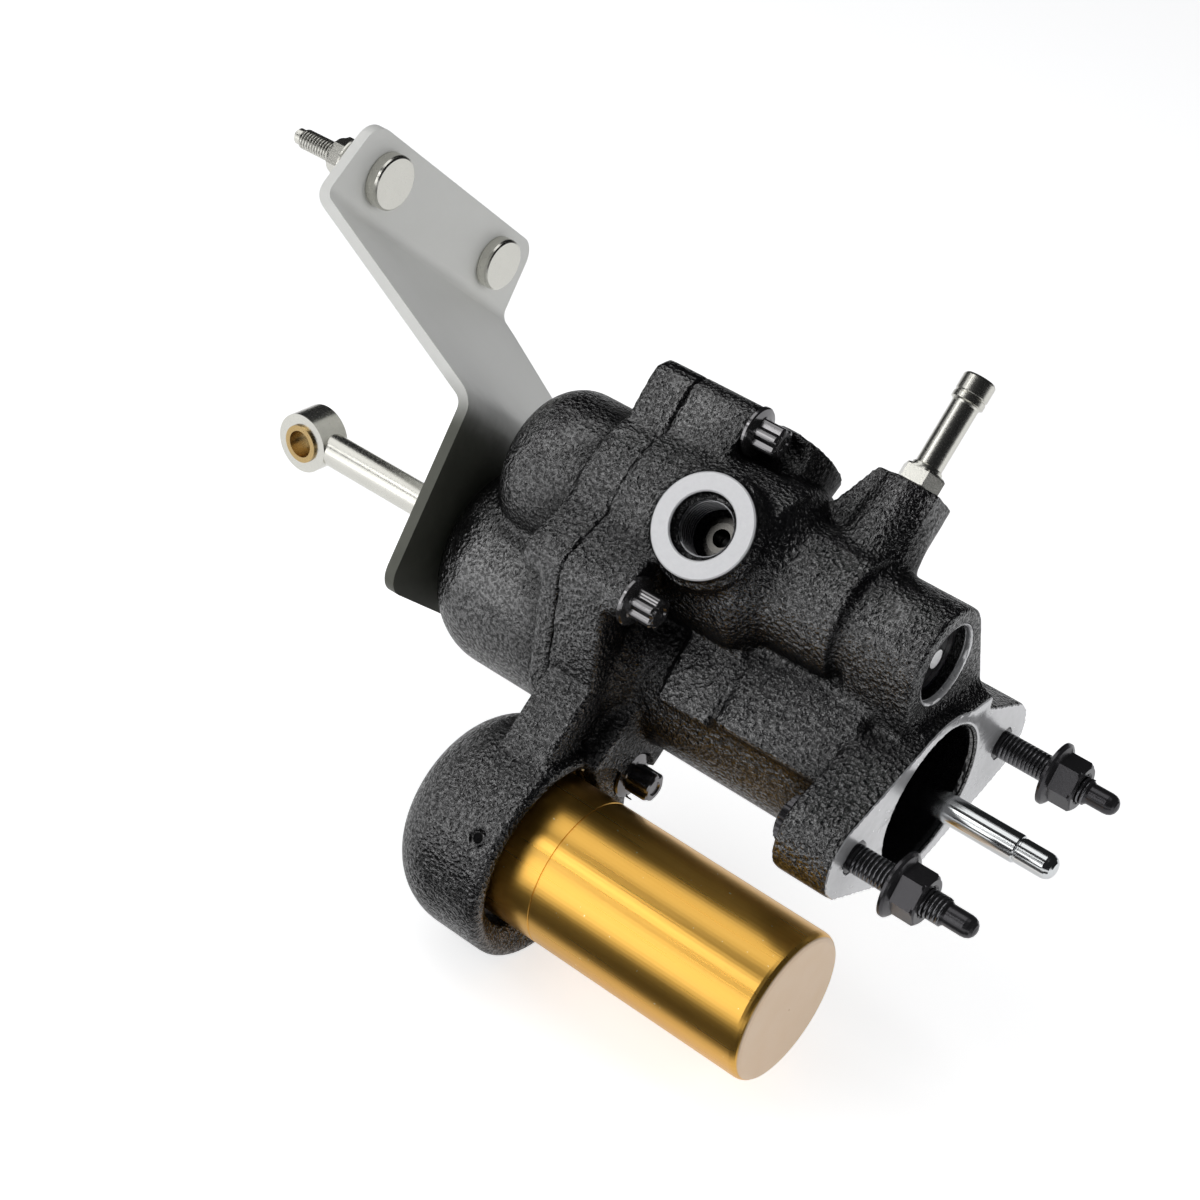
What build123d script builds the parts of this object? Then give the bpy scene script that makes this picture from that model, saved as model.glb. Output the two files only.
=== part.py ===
from build123d import *
import os
from math import atan2, cos, radians, sin, sqrt

# A hydraulic brake booster: a cast housing and rear cover around a power piston, a spool valve
# above it, a gas-charged accumulator in a cast cup, a return nipple and a sheet-metal bracket.
# Frame: +X runs along the piston bore towards the master cylinder, +Y along the line of the two
# master cylinder studs, +Z up from the piston bore to the spool bore.
# The origin lies on the bore axis in the master cylinder face. Lengths are in millimetres.

# Shared clearances
running_gap = 0.03
screw_gap = 0.05
seat_gap = 0.1
seal_gap = 0.05
cast_gap = 0.5
tool_room = 6.0

# Main layout
housing_length = 118.0
cover_length = 66.0
spool_rise = 46.5
port_angle = 143.0
nipple_angle = 50.0
accumulator_angle = 225.0
accumulator_reach = 78.0

# Housing casting
barrel_radius = 30.0
spool_barrel_radius = 19.0
web_half_width = 13.0
rear_barrel_radius = 37.4
rear_barrel_length = 18.0
rear_cone_length = 6.0
flank_places = [(-29.0, -2.0, 16.0), (-52.0, -22.0, 12.0)]
bulge_radius = 29.0
bulge_length = 50.0
bulge_cone_length = 13.0
spool_front_setback = 7.0
ear_radius = 14.5
flange_thickness = 20.0
shoulder_reach = 29.0
shoulder_height = 27.0
shoulder_thickness = 24.0
shoulder_corner = 4.0
barrel_pad_length = 42.0
barrel_pad_width = 31.0
barrel_pad_height = 3.0
barrel_pad_setback = 40.0
barrel_pad_angle = 139.0
saddle_pad_length = 20.0
saddle_pad_width = 28.0
saddle_pad_height = 2.6
saddle_pad_setback = 73.5
saddle_pad_angle = 146.0
spool_band_radius = 22.3
spool_band_length = 25.0
spool_band_setback = 61.0
roof_length = 42.0
roof_setback = 58.0
roof_height = 22.4
roof_near_side = 5.2
roof_far_side = 15.0
roof_far_drop = 2.0

# Front recess and piston bore
recess_radius = 24.0
recess_depth = 30.0
recess_chamfer = 2.0
lip_radius = 8.0
lip_thickness = 4.0
piston_radius = 17.0
chamber_radius = 24.0
chamber_length = 22.0
piston_seal_width = 3.0
piston_seal_depth = 2.6
piston_seal_setback = 4.0

# Power piston
piston_length = 84.0
piston_stroke = 30.0
piston_rear_gap = 26.0
spring_pocket_radius = 13.8
spring_pocket_depth = 25.0
rod_socket_radius = 7.0
rod_socket_depth = 18.0
rod_lost_motion = 2.0

# Output rod
output_rod_radius = 4.75
output_rod_reach = 45.0
output_rod_tip_radius = 4.2
output_rod_tip_share = 19.0
output_head_radius = 8.0
output_head_length = 6.0
retainer_thickness = 2.0
retainer_rim_gap = 0.6

# Return spring
spring_wire = 3.0
spring_coils = 5.0
spring_mean_radius = 11.6

# Lever between the piston and the spool
lever_pin_rise = 11.5
lever_pin_radius = 3.0
lever_thickness = 8.0
lever_hub_radius = 5.2
lever_tip_radius = 3.0
lever_web_half = 2.8
lever_side_gap = 0.4
lever_top_lead = 15.0
lever_tip_gap = 0.5
lever_pin_setback = 7.5
lever_pin_half = 11.0
lever_room = 1.6
cheek_room = 5.5

# Spool valve
spool_radius = 9.0
spool_rear_setback = 2.0
spool_front_end = 48.0
spool_stroke = 3.0
land_length = 9.0
groove_radius = 6.0
spool_spring_wire = 1.5
spool_spring_coils = 7.0
spool_spring_mean = 6.4
yoke_length = 18.0
yoke_radius = 8.2
yoke_stem_radius = 3.2
yoke_stem_length = 9.0

# Spool plug and its ring
plug_recess_radius = 13.0
plug_recess_depth = 18.0
plug_length = 11.0
plug_gap = 0.06
plug_nub_radius = 3.2
plug_nub_length = 3.0
plug_stem_length = 4.0
seal_wire = 2.2
plug_ring_thickness = 1.3
plug_ring_width = 2.2
plug_ring_groove = 1.0
plug_ring_eye = 2.0
ring_gap_angle = 42.0

# Inlet port
port_setback = 84.0
port_face_rise = 34.0
port_face_radius = 17.0
port_counterbore_radius = 10.8
port_counterbore_depth = 3.0
port_thread_radius = 9.0
port_thread_depth = 13.0
port_boss_flare = 2.0
port_flare_drop = 4.0
port_seat_radius = 7.0
port_seat_length = 5.0
port_seat_bore = 3.0
port_seat_step = 1.6
port_passage_radius = 3.5

# Outlet port to the steering gear, which mirrors the inlet on the far side
outlet_angle = 37.0
outlet_setback = 88.0
outlet_face_rise = 38.0
outlet_face_radius = 16.0
outlet_thread_radius = 8.0
outlet_thread_depth = 13.0
outlet_passage_radius = 3.2

# Return nipple
nipple_setback = 45.0
nipple_boss_rise = 43.0
nipple_boss_radius = 11.0
nipple_boss_base = 16.0
nipple_web_reach = 18.6
nipple_web_rise = 25.5
nipple_web_half = 8.0
nipple_hex_flats = 13.0
nipple_hex_height = 6.0
nipple_tube_radius = 4.5
nipple_tube_bore = 3.2
nipple_bead_radius = 5.5
nipple_bead_setback = 9.0
nipple_length = 39.0
nipple_shank_radius = 6.0
nipple_shank_length = 11.0
nipple_passage_radius = 3.2

# Cover
cover_dome_radius = 37.4
cover_dome_corner = 22.0
cover_wall = 8.0
cover_cavity_radius = 28.5
cover_cavity_corner = 11.0
cover_spool_radius = 27.4
cover_spool_drop = 4.5
cover_spool_length = 50.0
cover_spool_corner = 14.0
cover_spool_cavity_radius = 16.0
cover_spool_wall = 20.0
cover_web_half_width = 18.0
cover_flange_radius = 27.8
cover_flank_length = 7.5
bolt_boss_radius = 7.8
cover_boss_length = 15.0
housing_boss_length = 23.0
bolt_places = [(11.0, 81.5), (-40.0, 39.5), (-22.0, -37.0), (31.0, -33.0), (39.0, 38.0)]
bolt_radius = 4.0
bolt_grip = 12.0
bolt_flange_radius = 8.4
bolt_flange_thickness = 2.0
bolt_head_radius = 5.4
bolt_head_height = 9.0
gasket_offset = 3.6
gasket_width = 2.4
gasket_depth = 1.6
hub_radius = 15.0
hub_length = 19.0

# Hub nut and input rod
hub_nut_flats = 42.0
hub_nut_height = 9.0
input_rod_radius = 6.0
input_rod_length = 132.0
input_ball_radius = 5.8
input_ball_length = 11.0
input_collar_radius = 10.0
input_collar_length = 4.0
input_collar_setback = 40.0
input_seal_outer = 10.0
input_seal_length = 7.0
input_seal_setback = 5.0
eye_radius = 11.0
eye_thickness = 12.0
eye_bush_radius = 7.0
eye_bore_radius = 5.0
eye_bush_overhang = 1.0

# Accumulator
can_radius = 26.0
can_wall = 1.8
can_front_setback = 2.0
can_end_corner = 3.0
can_foot_radius = 28.2
can_foot_length = 5.0
cup_radius = 38.0
cup_front_setback = 96.0
cup_rear_overhang = 22.0
cup_floor = 25.0
cup_bore_radius = 28.5
cup_mouth_radius = 34.2
cup_mouth_depth = 5.0
cup_corner = 3.0
cup_rear_corner = 22.0
cup_chamber_radius = 20.0
cup_chamber_depth = 14.0
neck_half_width = 18.0
neck_length = 26.0
cup_ring_thickness = 1.6
cup_ring_depth = 1.6
cup_ring_gap = 0.3
cup_seal_wire = 2.4
gas_piston_length = 16.0
gas_piston_skirt = 5.0
gas_piston_floor = 4.0
gas_piston_gap = 0.05
gas_piston_rest = 0.5
gas_piston_stroke = 40.0
gas_seal_width = 3.0
gas_seal_depth = 2.0
check_valve_radius = 3.5
check_valve_length = 9.0
check_valve_bore = 1.5
check_valve_setback = 14.0
feed_offset = 8.0
feed_radius = 2.0

# Master cylinder studs and nuts
mc_stud_spacing = 86.0
mc_stud_radius = 5.0
mc_stud_reach = 43.0
mc_stud_shank = 5.5
mc_thread_root = 4.6
mc_head_radius = 7.6
mc_head_height = 5.0
mc_tip_radius = 3.6
mc_tip_length = 11.0
mc_near_nut_stand_off = 15.0
mc_far_nut_stand_off = 19.0
mc_nut_flats = 15.0
mc_nut_height = 11.0
mc_nut_flange_radius = 10.8
mc_nut_flange_thickness = 2.5

# Bracket and firewall studs
bracket_angle = 53.5
bracket_sheet = 4.0
bracket_base_low = 30.0
bracket_base_high = 36.0
bracket_base_low_half = 38.0
bracket_base_high_half = 50.0
bracket_arm_length = 76.0
bracket_arm_rise = 36.0
bracket_flange_half = 66.0
bracket_flange_height = 32.0
bracket_flange_top_half = 60.0
bracket_bend = 5.0
bracket_corner = 9.0
fw_stud_spacing = 83.0
fw_stud_rise = 90.0
fw_stud_radius = 4.0
fw_stud_shank = 4.8
fw_stud_reach = 38.0
fw_thread_root = 3.6
fw_head_radius = 10.0
fw_head_height = 5.0
fw_tip_radius = 2.9
fw_tip_length = 4.0
fw_nut_stand_off = 10.0
fw_nut_flats = 13.0
fw_nut_height = 8.0
fw_nut_flange_radius = 9.0
fw_nut_flange_thickness = 2.0

# Places that follow from the sizes above
joint_x = -housing_length
cover_x = joint_x - cover_length
cup_x = -cup_front_setback
cup_rear_x = joint_x - cup_rear_overhang
cup_floor_x = cup_rear_x + cup_floor
spool_front_x = -spool_front_setback
plug_seat_x = spool_front_x - plug_recess_depth
lip_rear_x = -recess_depth - lip_thickness
piston_rear_x = cover_x + cover_wall + piston_rear_gap
piston_front_x = piston_rear_x + piston_length
pocket_x = piston_front_x - spring_pocket_depth
lever_pin_x = piston_rear_x + lever_pin_setback
lever_top_x = lever_pin_x + lever_top_lead
lever_top_rise = spool_rise - lever_pin_rise
input_front_x = piston_rear_x + rod_socket_depth - rod_lost_motion - 0.3
eye_x = input_front_x - input_rod_length
bore_fit = piston_radius + running_gap


def direction(angle):
    """A unit vector across the bore, at an angle from +Y towards +Z."""
    return Vector(0, cos(radians(angle)), sin(radians(angle)))


def across(x):
    """The plane at x that faces +X, with its own x along +Y and y along +Z."""
    return Plane(origin=(x, 0, 0), x_dir=(0, 1, 0), z_dir=(1, 0, 0))


def rod(radius, x0, x1, y=0.0, z=0.0):
    """A cylinder along X."""
    low, high = min(x0, x1), max(x0, x1)
    start = Plane(origin=(low, y, z), x_dir=(0, 1, 0), z_dir=(1, 0, 0))
    return start * Cylinder(radius, high - low, align=(Align.CENTER, Align.CENTER, Align.MIN))


def taper(r0, r1, x0, x1, y=0.0, z=0.0):
    """A cone along X, with radius r0 at x0 and r1 at x1, where x0 is the lower."""
    start = Plane(origin=(x0, y, z), x_dir=(0, 1, 0), z_dir=(1, 0, 0))
    return start * Cone(r0, r1, x1 - x0, align=(Align.CENTER, Align.CENTER, Align.MIN))


def spoke(base, angle, radius, t0, t1):
    """A cylinder along a direction across the bore, from t0 to t1 past the base point."""
    way = direction(angle)
    start = Plane(origin=base + way * t0, x_dir=(1, 0, 0), z_dir=way)
    return start * Cylinder(radius, t1 - t0, align=(Align.CENTER, Align.CENTER, Align.MIN))


def spoke_cone(base, angle, r0, r1, t0, t1):
    """A cone along a direction across the bore."""
    way = direction(angle)
    start = Plane(origin=base + way * t0, x_dir=(1, 0, 0), z_dir=way)
    return start * Cone(r0, r1, t1 - t0, align=(Align.CENTER, Align.CENTER, Align.MIN))


def slab(x0, x1, y0, y1, z0, z1):
    """A box between two corners."""
    return Pos(x0, y0, z0) * Box(x1 - x0, y1 - y0, z1 - z0, align=(Align.MIN,) * 3)


def bridge(circles, x0, x1):
    """The hull of circles given as (y, z, radius), from x0 to x1."""
    edges = ShapeList()
    for y, z, radius in circles:
        edges += (Pos(y, z) * Circle(radius)).edges()
    return extrude(across(x0) * make_hull(edges), x1 - x0)


def rounded_rod(radius, x0, x1, corner, y=0.0, z=0.0):
    """A cylinder along X whose rear edge, at the lower x, is rounded."""
    body = rod(radius, x0, x1, y, z)
    return fillet(body.edges().filter_by(GeomType.CIRCLE).sort_by(Axis.X)[0], corner)


def hexagon(flats, x0, x1, y=0.0, z=0.0):
    """A hexagonal bar along X."""
    start = Plane(origin=(x0, y, z), x_dir=(0, 1, 0), z_dir=(1, 0, 0))
    return extrude(start * RegularPolygon(flats / 2, 6, major_radius=False), x1 - x0)


def ring(outer, inner, x0, x1, y=0.0, z=0.0):
    """A flat ring about a line along X."""
    return rod(outer, x0, x1, y, z) - rod(inner, x0 - 1, x1 + 1, y, z)


def o_ring(mean, wire, x, y=0.0, z=0.0):
    """A round-section ring about a line along X."""
    return across(x) * Pos(y, z) * Torus(mean, wire / 2)


def coil(mean, wire, turns, x0, x1, y=0.0, z=0.0):
    """A round-wire spring along X that lies between x0 and x1."""
    length = x1 - x0 - wire
    path = Helix(length / turns, length, mean)
    start = path @ 0
    section = Plane(origin=start, z_dir=path % 0) * Circle(wire / 2)
    spring = sweep(section, path, is_frenet=True)
    place = Plane(origin=(x0 + wire / 2, y, z), x_dir=(0, 1, 0), z_dir=(1, 0, 0))
    return place * spring


def stud(place, x0, sign, free, sizes):
    """A headed stud with a round tip. Its free length starts at x0 and runs along X with the given sign."""
    y, z = place
    grip, reach, shank, radius, root, head_radius, head, tip_radius, tip = sizes

    def span(r, a, b):
        return rod(r, x0 + sign * a, x0 + sign * b, y, z)

    body = span(head_radius, -grip - head, -grip) + span(shank, -grip, 0) + span(radius, 0, free)
    body += span(root, free, reach - tip) + span(tip_radius, reach - tip, reach - tip_radius)
    return body + Pos(x0 + sign * (reach - tip_radius), y, z) * Sphere(tip_radius)


def flange_nut(place, x0, sign, sizes):
    """A hexagon nut with a round flange. Its seat is at x0 and it runs along X with the given sign."""
    y, z = place
    flats, height, flange_radius, flange, hole = sizes
    low, high = sorted((x0, x0 + sign * height))
    seat_low, seat_high = sorted((x0, x0 + sign * flange))
    body = hexagon(flats, low, high, y, z) + rod(flange_radius, seat_low, seat_high, y, z)
    return body - rod(hole, low - 1, high + 1, y, z)


os.makedirs("parts", exist_ok=True)
port_base = Vector(-port_setback, 0, spool_rise)
outlet_base = Vector(-outlet_setback, 0, spool_rise)
nipple_base = Vector(-nipple_setback, 0, spool_rise)
can_y = accumulator_reach * cos(radians(accumulator_angle))
can_z = accumulator_reach * sin(radians(accumulator_angle))
mc_places = [(-mc_stud_spacing / 2, 0.0), (mc_stud_spacing / 2, 0.0)]
outward = direction(bracket_angle)
sideways = direction(bracket_angle - 90)
fw_places = []
for side in (-1, 1):
    spot = outward * fw_stud_rise + sideways * (side * fw_stud_spacing / 2)
    fw_places.append((spot.Y, spot.Z))


# Housing casting, from its outer masses to its bores
rear_x = joint_x + rear_barrel_length
bulge_x = joint_x + bulge_length
housing = rod(barrel_radius, joint_x, 0) + rod(rear_barrel_radius, joint_x, rear_x)
housing += taper(rear_barrel_radius, barrel_radius, rear_x, rear_x + rear_cone_length)
housing += rod(spool_barrel_radius, joint_x, spool_front_x, 0, spool_rise)
housing += rod(bulge_radius, joint_x, bulge_x, 0, spool_rise)
housing += taper(bulge_radius, spool_barrel_radius, bulge_x, bulge_x + bulge_cone_length, 0, spool_rise)
housing += slab(joint_x, spool_front_x, -web_half_width, web_half_width, 0, spool_rise)
ears = [(y, z, ear_radius) for y, z in mc_places]
housing += bridge(ears + [(0, 0, barrel_radius)], -flange_thickness, 0)
bolt_flank = [(y, z, bolt_boss_radius) for y, z in bolt_places[1:2]] + flank_places[:1]
housing += bridge(bolt_flank, joint_x, rear_x) + bridge(flank_places, joint_x, rear_x)
shoulder = make_hull(
    (Pos(0, spool_rise) * Circle(spool_barrel_radius)).edges()
    + (Pos(shoulder_reach - shoulder_corner, shoulder_height) * Circle(shoulder_corner)).edges()
    + (Pos(-web_half_width, shoulder_height) * Circle(shoulder_corner)).edges()
)
housing += extrude(across(spool_front_x - shoulder_thickness) * shoulder, shoulder_thickness)
wedge = [
    (spool_front_x, spool_rise - spool_barrel_radius + shoulder_corner),
    (0, shoulder_height),
    (0, 0),
    (spool_front_x, 0),
]
wedge_face = make_face(Polyline([(x, z) for x, z in wedge], close=True))
wedge_reach = shoulder_reach - shoulder_corner
wedge_plane = Plane(origin=(0, wedge_reach, 0), x_dir=(1, 0, 0), z_dir=(0, -1, 0))
housing += extrude(wedge_plane * wedge_face, wedge_reach + web_half_width)
for y, z in bolt_places:
    near_spool = sqrt(y * y + (z - spool_rise) ** 2) < sqrt(y * y + z * z)
    root = (0, spool_rise, spool_barrel_radius) if near_spool else (0, 0, barrel_radius)
    housing += bridge([(y, z, bolt_boss_radius), root], joint_x, joint_x + housing_boss_length)
port_flare_rise = port_face_rise - port_flare_drop
housing += spoke(port_base, port_angle, port_face_radius + port_boss_flare, 0, port_flare_rise)
housing += spoke(port_base, port_angle, port_face_radius, 0, port_face_rise)
housing += spoke(outlet_base, outlet_angle, outlet_face_radius, 0, outlet_face_rise)
housing += spoke_cone(nipple_base, nipple_angle, nipple_boss_base, nipple_boss_radius, 0, nipple_boss_rise)


def pad(base, angle, rise, length, width):
    """A rectangular pad that stands out of a barrel, from base to a flat top."""
    start = Plane(origin=base, x_dir=(1, 0, 0), z_dir=direction(angle))
    return start * Box(length, width, rise, align=(Align.CENTER, Align.CENTER, Align.MIN))


barrel_pad_base = Vector(-barrel_pad_setback, 0, 0)
barrel_pad_top = barrel_radius + barrel_pad_height
housing += pad(barrel_pad_base, barrel_pad_angle, barrel_pad_top, barrel_pad_length, barrel_pad_width)
saddle_base = Vector(-saddle_pad_setback, 0, 0)
saddle_top = barrel_radius + saddle_pad_height
housing += pad(saddle_base, saddle_pad_angle, saddle_top, saddle_pad_length, saddle_pad_width)
band_x = -spool_band_setback
housing += rod(spool_band_radius, band_x, band_x + spool_band_length, 0, spool_rise)
roof = [
    (-roof_near_side, spool_rise),
    (-roof_near_side, spool_rise + roof_height),
    (roof_far_side, spool_rise + roof_height - roof_far_drop),
    (roof_far_side, spool_rise),
]
roof_x = -roof_setback - roof_length / 2
housing += extrude(across(roof_x) * make_face(Polyline(roof, close=True)), roof_length)
web = [
    (nipple_boss_radius, nipple_boss_rise),
    (-nipple_boss_radius, nipple_boss_rise),
    (-nipple_web_reach, nipple_web_rise),
    (-nipple_web_reach, 0),
    (nipple_boss_radius, 0),
]
web_plane = Plane(
    origin=nipple_base + Vector(1, 0, 0).cross(direction(nipple_angle)) * nipple_web_half,
    x_dir=(1, 0, 0),
    z_dir=Vector(1, 0, 0).cross(direction(nipple_angle)) * -1,
)
web_face = make_face(Polyline([(x, -t) for x, t in web], close=True))
housing += extrude(web_plane * web_face, 2 * nipple_web_half)
cup_blank = rod(cup_radius, cup_rear_x, cup_x, can_y, can_z)
cup_edges = cup_blank.edges().filter_by(GeomType.CIRCLE).sort_by(Axis.X)
cup_blank = fillet(cup_edges[-1], cup_corner)
cup_blank = fillet(cup_blank.edges().filter_by(GeomType.CIRCLE).sort_by(Axis.X)[0], cup_rear_corner)
neck = bridge([(0, 0, neck_half_width), (can_y, can_z, neck_half_width)], joint_x, joint_x + neck_length)
housing += neck + cup_blank

housing -= rod(cup_bore_radius, cup_floor_x, cup_x + 1, can_y, can_z)
housing -= rod(cup_chamber_radius, cup_floor_x - cup_chamber_depth, cup_floor_x + 1, can_y, can_z)
housing -= rod(cup_mouth_radius, cup_x, 0, can_y, can_z)
housing -= taper(cup_bore_radius, cup_mouth_radius, cup_x - cup_mouth_depth, cup_x, can_y, can_z)
cup_groove_x = cup_floor_x + can_foot_length + seat_gap
cup_groove = cup_bore_radius + cup_ring_depth
cup_groove_end_x = cup_groove_x + cup_ring_thickness + seat_gap
housing -= rod(cup_groove, cup_groove_x, cup_groove_end_x, can_y, can_z)
housing -= rod(recess_radius, -recess_depth, 1)
housing -= taper(recess_radius, recess_radius + recess_chamfer, -recess_chamfer, 0.01)
housing -= rod(lip_radius, lip_rear_x - 1, -recess_depth + 1)
housing -= rod(bore_fit, joint_x - 1, lip_rear_x)
housing -= rod(chamber_radius, joint_x - 1, joint_x + chamber_length)
piston_seal_x = joint_x + chamber_length + piston_seal_setback
housing -= rod(bore_fit + piston_seal_depth, piston_seal_x, piston_seal_x + piston_seal_width)
housing -= rod(spool_radius, joint_x - 1, spool_front_x + 1, 0, spool_rise)
housing -= rod(plug_recess_radius, plug_seat_x, spool_front_x + 1, 0, spool_rise)
plug_ring_x = plug_seat_x + plug_length + seat_gap
plug_groove = plug_recess_radius + plug_ring_groove
plug_groove_end_x = plug_ring_x + plug_ring_thickness + seat_gap
housing -= rod(plug_groove, plug_ring_x, plug_groove_end_x, 0, spool_rise)
slot_half = lever_thickness / 2 + lever_room
slot_x = lever_pin_x + piston_stroke + lever_hub_radius + lever_room
housing -= slab(joint_x - 1, slot_x, -slot_half, slot_half, 0, spool_rise)
port_step = port_face_rise - port_counterbore_depth
housing -= spoke(port_base, port_angle, port_counterbore_radius, port_step, port_face_rise + 1)
port_thread_floor = port_step - port_thread_depth
housing -= spoke(port_base, port_angle, port_thread_radius, port_thread_floor, port_face_rise)
seat_floor = port_thread_floor - port_seat_length - port_seat_step - seat_gap
housing -= spoke(port_base, port_angle, port_seat_radius, seat_floor, port_face_rise)
housing -= spoke(port_base, port_angle, port_passage_radius, 0, port_face_rise)
outlet_floor = outlet_face_rise - outlet_thread_depth
housing -= spoke(outlet_base, outlet_angle, outlet_thread_radius, outlet_floor, outlet_face_rise + 1)
housing -= spoke(outlet_base, outlet_angle, outlet_passage_radius, 0, outlet_face_rise)
nipple_floor = nipple_boss_rise - nipple_shank_length
nipple_hole = nipple_shank_radius + screw_gap
housing -= spoke(nipple_base, nipple_angle, nipple_hole, nipple_floor, nipple_boss_rise + 1)
housing -= spoke(nipple_base, nipple_angle, nipple_passage_radius, 0, nipple_boss_rise)
for y, z in mc_places:
    housing -= rod(mc_stud_shank + screw_gap, -flange_thickness - 1, 1, y, z)
for y, z in bolt_places:
    housing -= rod(bolt_radius + screw_gap, joint_x - 1, joint_x + housing_boss_length + 1, y, z)
    seat_x = joint_x + housing_boss_length
    head_end_x = seat_x + bolt_flange_thickness + bolt_head_height
    housing -= rod(bolt_flange_radius + cast_gap, seat_x, head_end_x + tool_room, y, z)
    root = (0, 0, barrel_radius + cast_gap)
    housing -= bridge([(y, z, bolt_boss_radius + cast_gap), root], joint_x - cover_boss_length - 1, joint_x)
feed_base = Vector(joint_x + check_valve_setback, 0, 0) + direction(accumulator_angle - 90) * feed_offset
cup_wall_at = accumulator_reach - sqrt(cup_bore_radius**2 - feed_offset**2)
valve_start = cup_wall_at - check_valve_length
housing -= spoke(feed_base, accumulator_angle, feed_radius, chamber_radius - 2, valve_start + 1)
valve_hole = check_valve_radius + screw_gap
housing -= spoke(feed_base, accumulator_angle, valve_hole, valve_start, cup_wall_at + 2)
gasket_circles = [(0, 0, cover_cavity_radius), (0, spool_rise, cover_spool_cavity_radius + 3)]


def gasket_band(extra, x0, x1):
    """The closed band that the joint gasket follows, widened by extra on each side."""
    inner = [(y, z, r + gasket_offset - extra) for y, z, r in gasket_circles]
    outer = [(y, z, r + gasket_offset + gasket_width + extra) for y, z, r in gasket_circles]
    return bridge(outer, x0, x1) - bridge(inner, x0 - 1, x1 + 1)


housing -= gasket_band(seat_gap, joint_x - 1, joint_x + gasket_depth)
housing.label = "booster_housing"

# Rear cover
cover = rounded_rod(cover_dome_radius, cover_x, joint_x, cover_dome_corner)
lobe_x = joint_x - cover_spool_length
lobe_z = spool_rise - cover_spool_drop
cover += rounded_rod(cover_spool_radius, lobe_x, joint_x, cover_spool_corner, 0, lobe_z)
cover_web_x = lobe_x + cover_spool_corner
cover += slab(cover_web_x, joint_x, -cover_web_half_width, cover_web_half_width, 0, lobe_z)
cover += rod(cover_flange_radius, joint_x - cover_boss_length, joint_x, 0, spool_rise)
cover += bridge(bolt_flank, joint_x - cover_flank_length, joint_x)
for y, z in bolt_places:
    near_spool = sqrt(y * y + (z - spool_rise) ** 2) < sqrt(y * y + z * z)
    root = (0, spool_rise, spool_barrel_radius) if near_spool else (0, 0, barrel_radius)
    cover += bridge([(y, z, bolt_boss_radius), root], joint_x - cover_boss_length, joint_x)
cover += rod(hub_radius, cover_x - hub_length, cover_x)
cavity_x = cover_x + cover_wall
cover -= rounded_rod(cover_cavity_radius, cavity_x, joint_x + 1, cover_cavity_corner)
cover -= rod(cover_spool_cavity_radius, lobe_x + cover_spool_wall, joint_x + 1, 0, spool_rise)
cover -= slab(lobe_x + cover_spool_wall, joint_x + 1, -slot_half, slot_half, 0, spool_rise)
cover -= rod(input_rod_radius + running_gap, cover_x - hub_length - 1, cavity_x + 1)
seal_x = cover_x - hub_length + input_seal_setback
cover -= rod(input_seal_outer, seal_x, seal_x + input_seal_length)
for y, z in bolt_places:
    cover -= rod(bolt_radius + screw_gap, joint_x - bolt_grip - 1, joint_x + 1, y, z)
cover.label = "housing_cover"

gasket = gasket_band(0, joint_x, joint_x + gasket_depth)

cover_bolts = []
for y, z in bolt_places:
    seat_x = joint_x + housing_boss_length
    bolt = rod(bolt_radius, joint_x - bolt_grip, seat_x, y, z)
    bolt += rod(bolt_flange_radius, seat_x, seat_x + bolt_flange_thickness, y, z)
    head_x = seat_x + bolt_flange_thickness
    bolt += rod(bolt_head_radius, head_x, head_x + bolt_head_height, y, z)
    cover_bolts.append(bolt)

# Inlet seat at the bottom of the port, and the return nipple
seat_top = seat_floor + port_seat_length
inlet_seat = spoke(port_base, port_angle, port_seat_radius - screw_gap, seat_floor, seat_top)
step_radius = (port_seat_radius + port_seat_bore) / 2
inlet_seat += spoke(port_base, port_angle, step_radius, seat_top, seat_top + port_seat_step)
inlet_seat -= spoke(port_base, port_angle, port_seat_bore, seat_floor - 1, seat_top + port_seat_step + 1)

nipple_tip = nipple_boss_rise + nipple_length
hex_top = nipple_boss_rise + nipple_hex_height
nipple = spoke(nipple_base, nipple_angle, nipple_shank_radius, nipple_floor + seat_gap, nipple_boss_rise)
hex_plane = Plane(
    origin=nipple_base + direction(nipple_angle) * nipple_boss_rise,
    x_dir=(1, 0, 0),
    z_dir=direction(nipple_angle),
)
hex_face = hex_plane * RegularPolygon(nipple_hex_flats / 2, 6, major_radius=False)
nipple += extrude(hex_face, nipple_hex_height)
nipple += spoke(nipple_base, nipple_angle, nipple_tube_radius, hex_top, nipple_tip)
bead_at = nipple_tip - nipple_bead_setback
nipple += spoke(nipple_base, nipple_angle, nipple_bead_radius, bead_at, nipple_tip)
nipple -= spoke(nipple_base, nipple_angle, nipple_tube_bore, nipple_floor - 1, nipple_tip + 1)

# Spool, its yoke, spring, plug and snap ring
spool_rear_x = joint_x + spool_rear_setback
spool_end_x = -spool_front_end
spool = rod(groove_radius, spool_rear_x, spool_end_x, 0, spool_rise)
land_pitch = (spool_end_x - spool_rear_x - land_length) / 3
for i in range(4):
    land_x = spool_rear_x + i * land_pitch
    spool += rod(spool_radius - running_gap, land_x, land_x + land_length, 0, spool_rise)
spool -= rod(yoke_stem_radius, spool_rear_x - 1, spool_rear_x + yoke_stem_length, 0, spool_rise)

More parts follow.
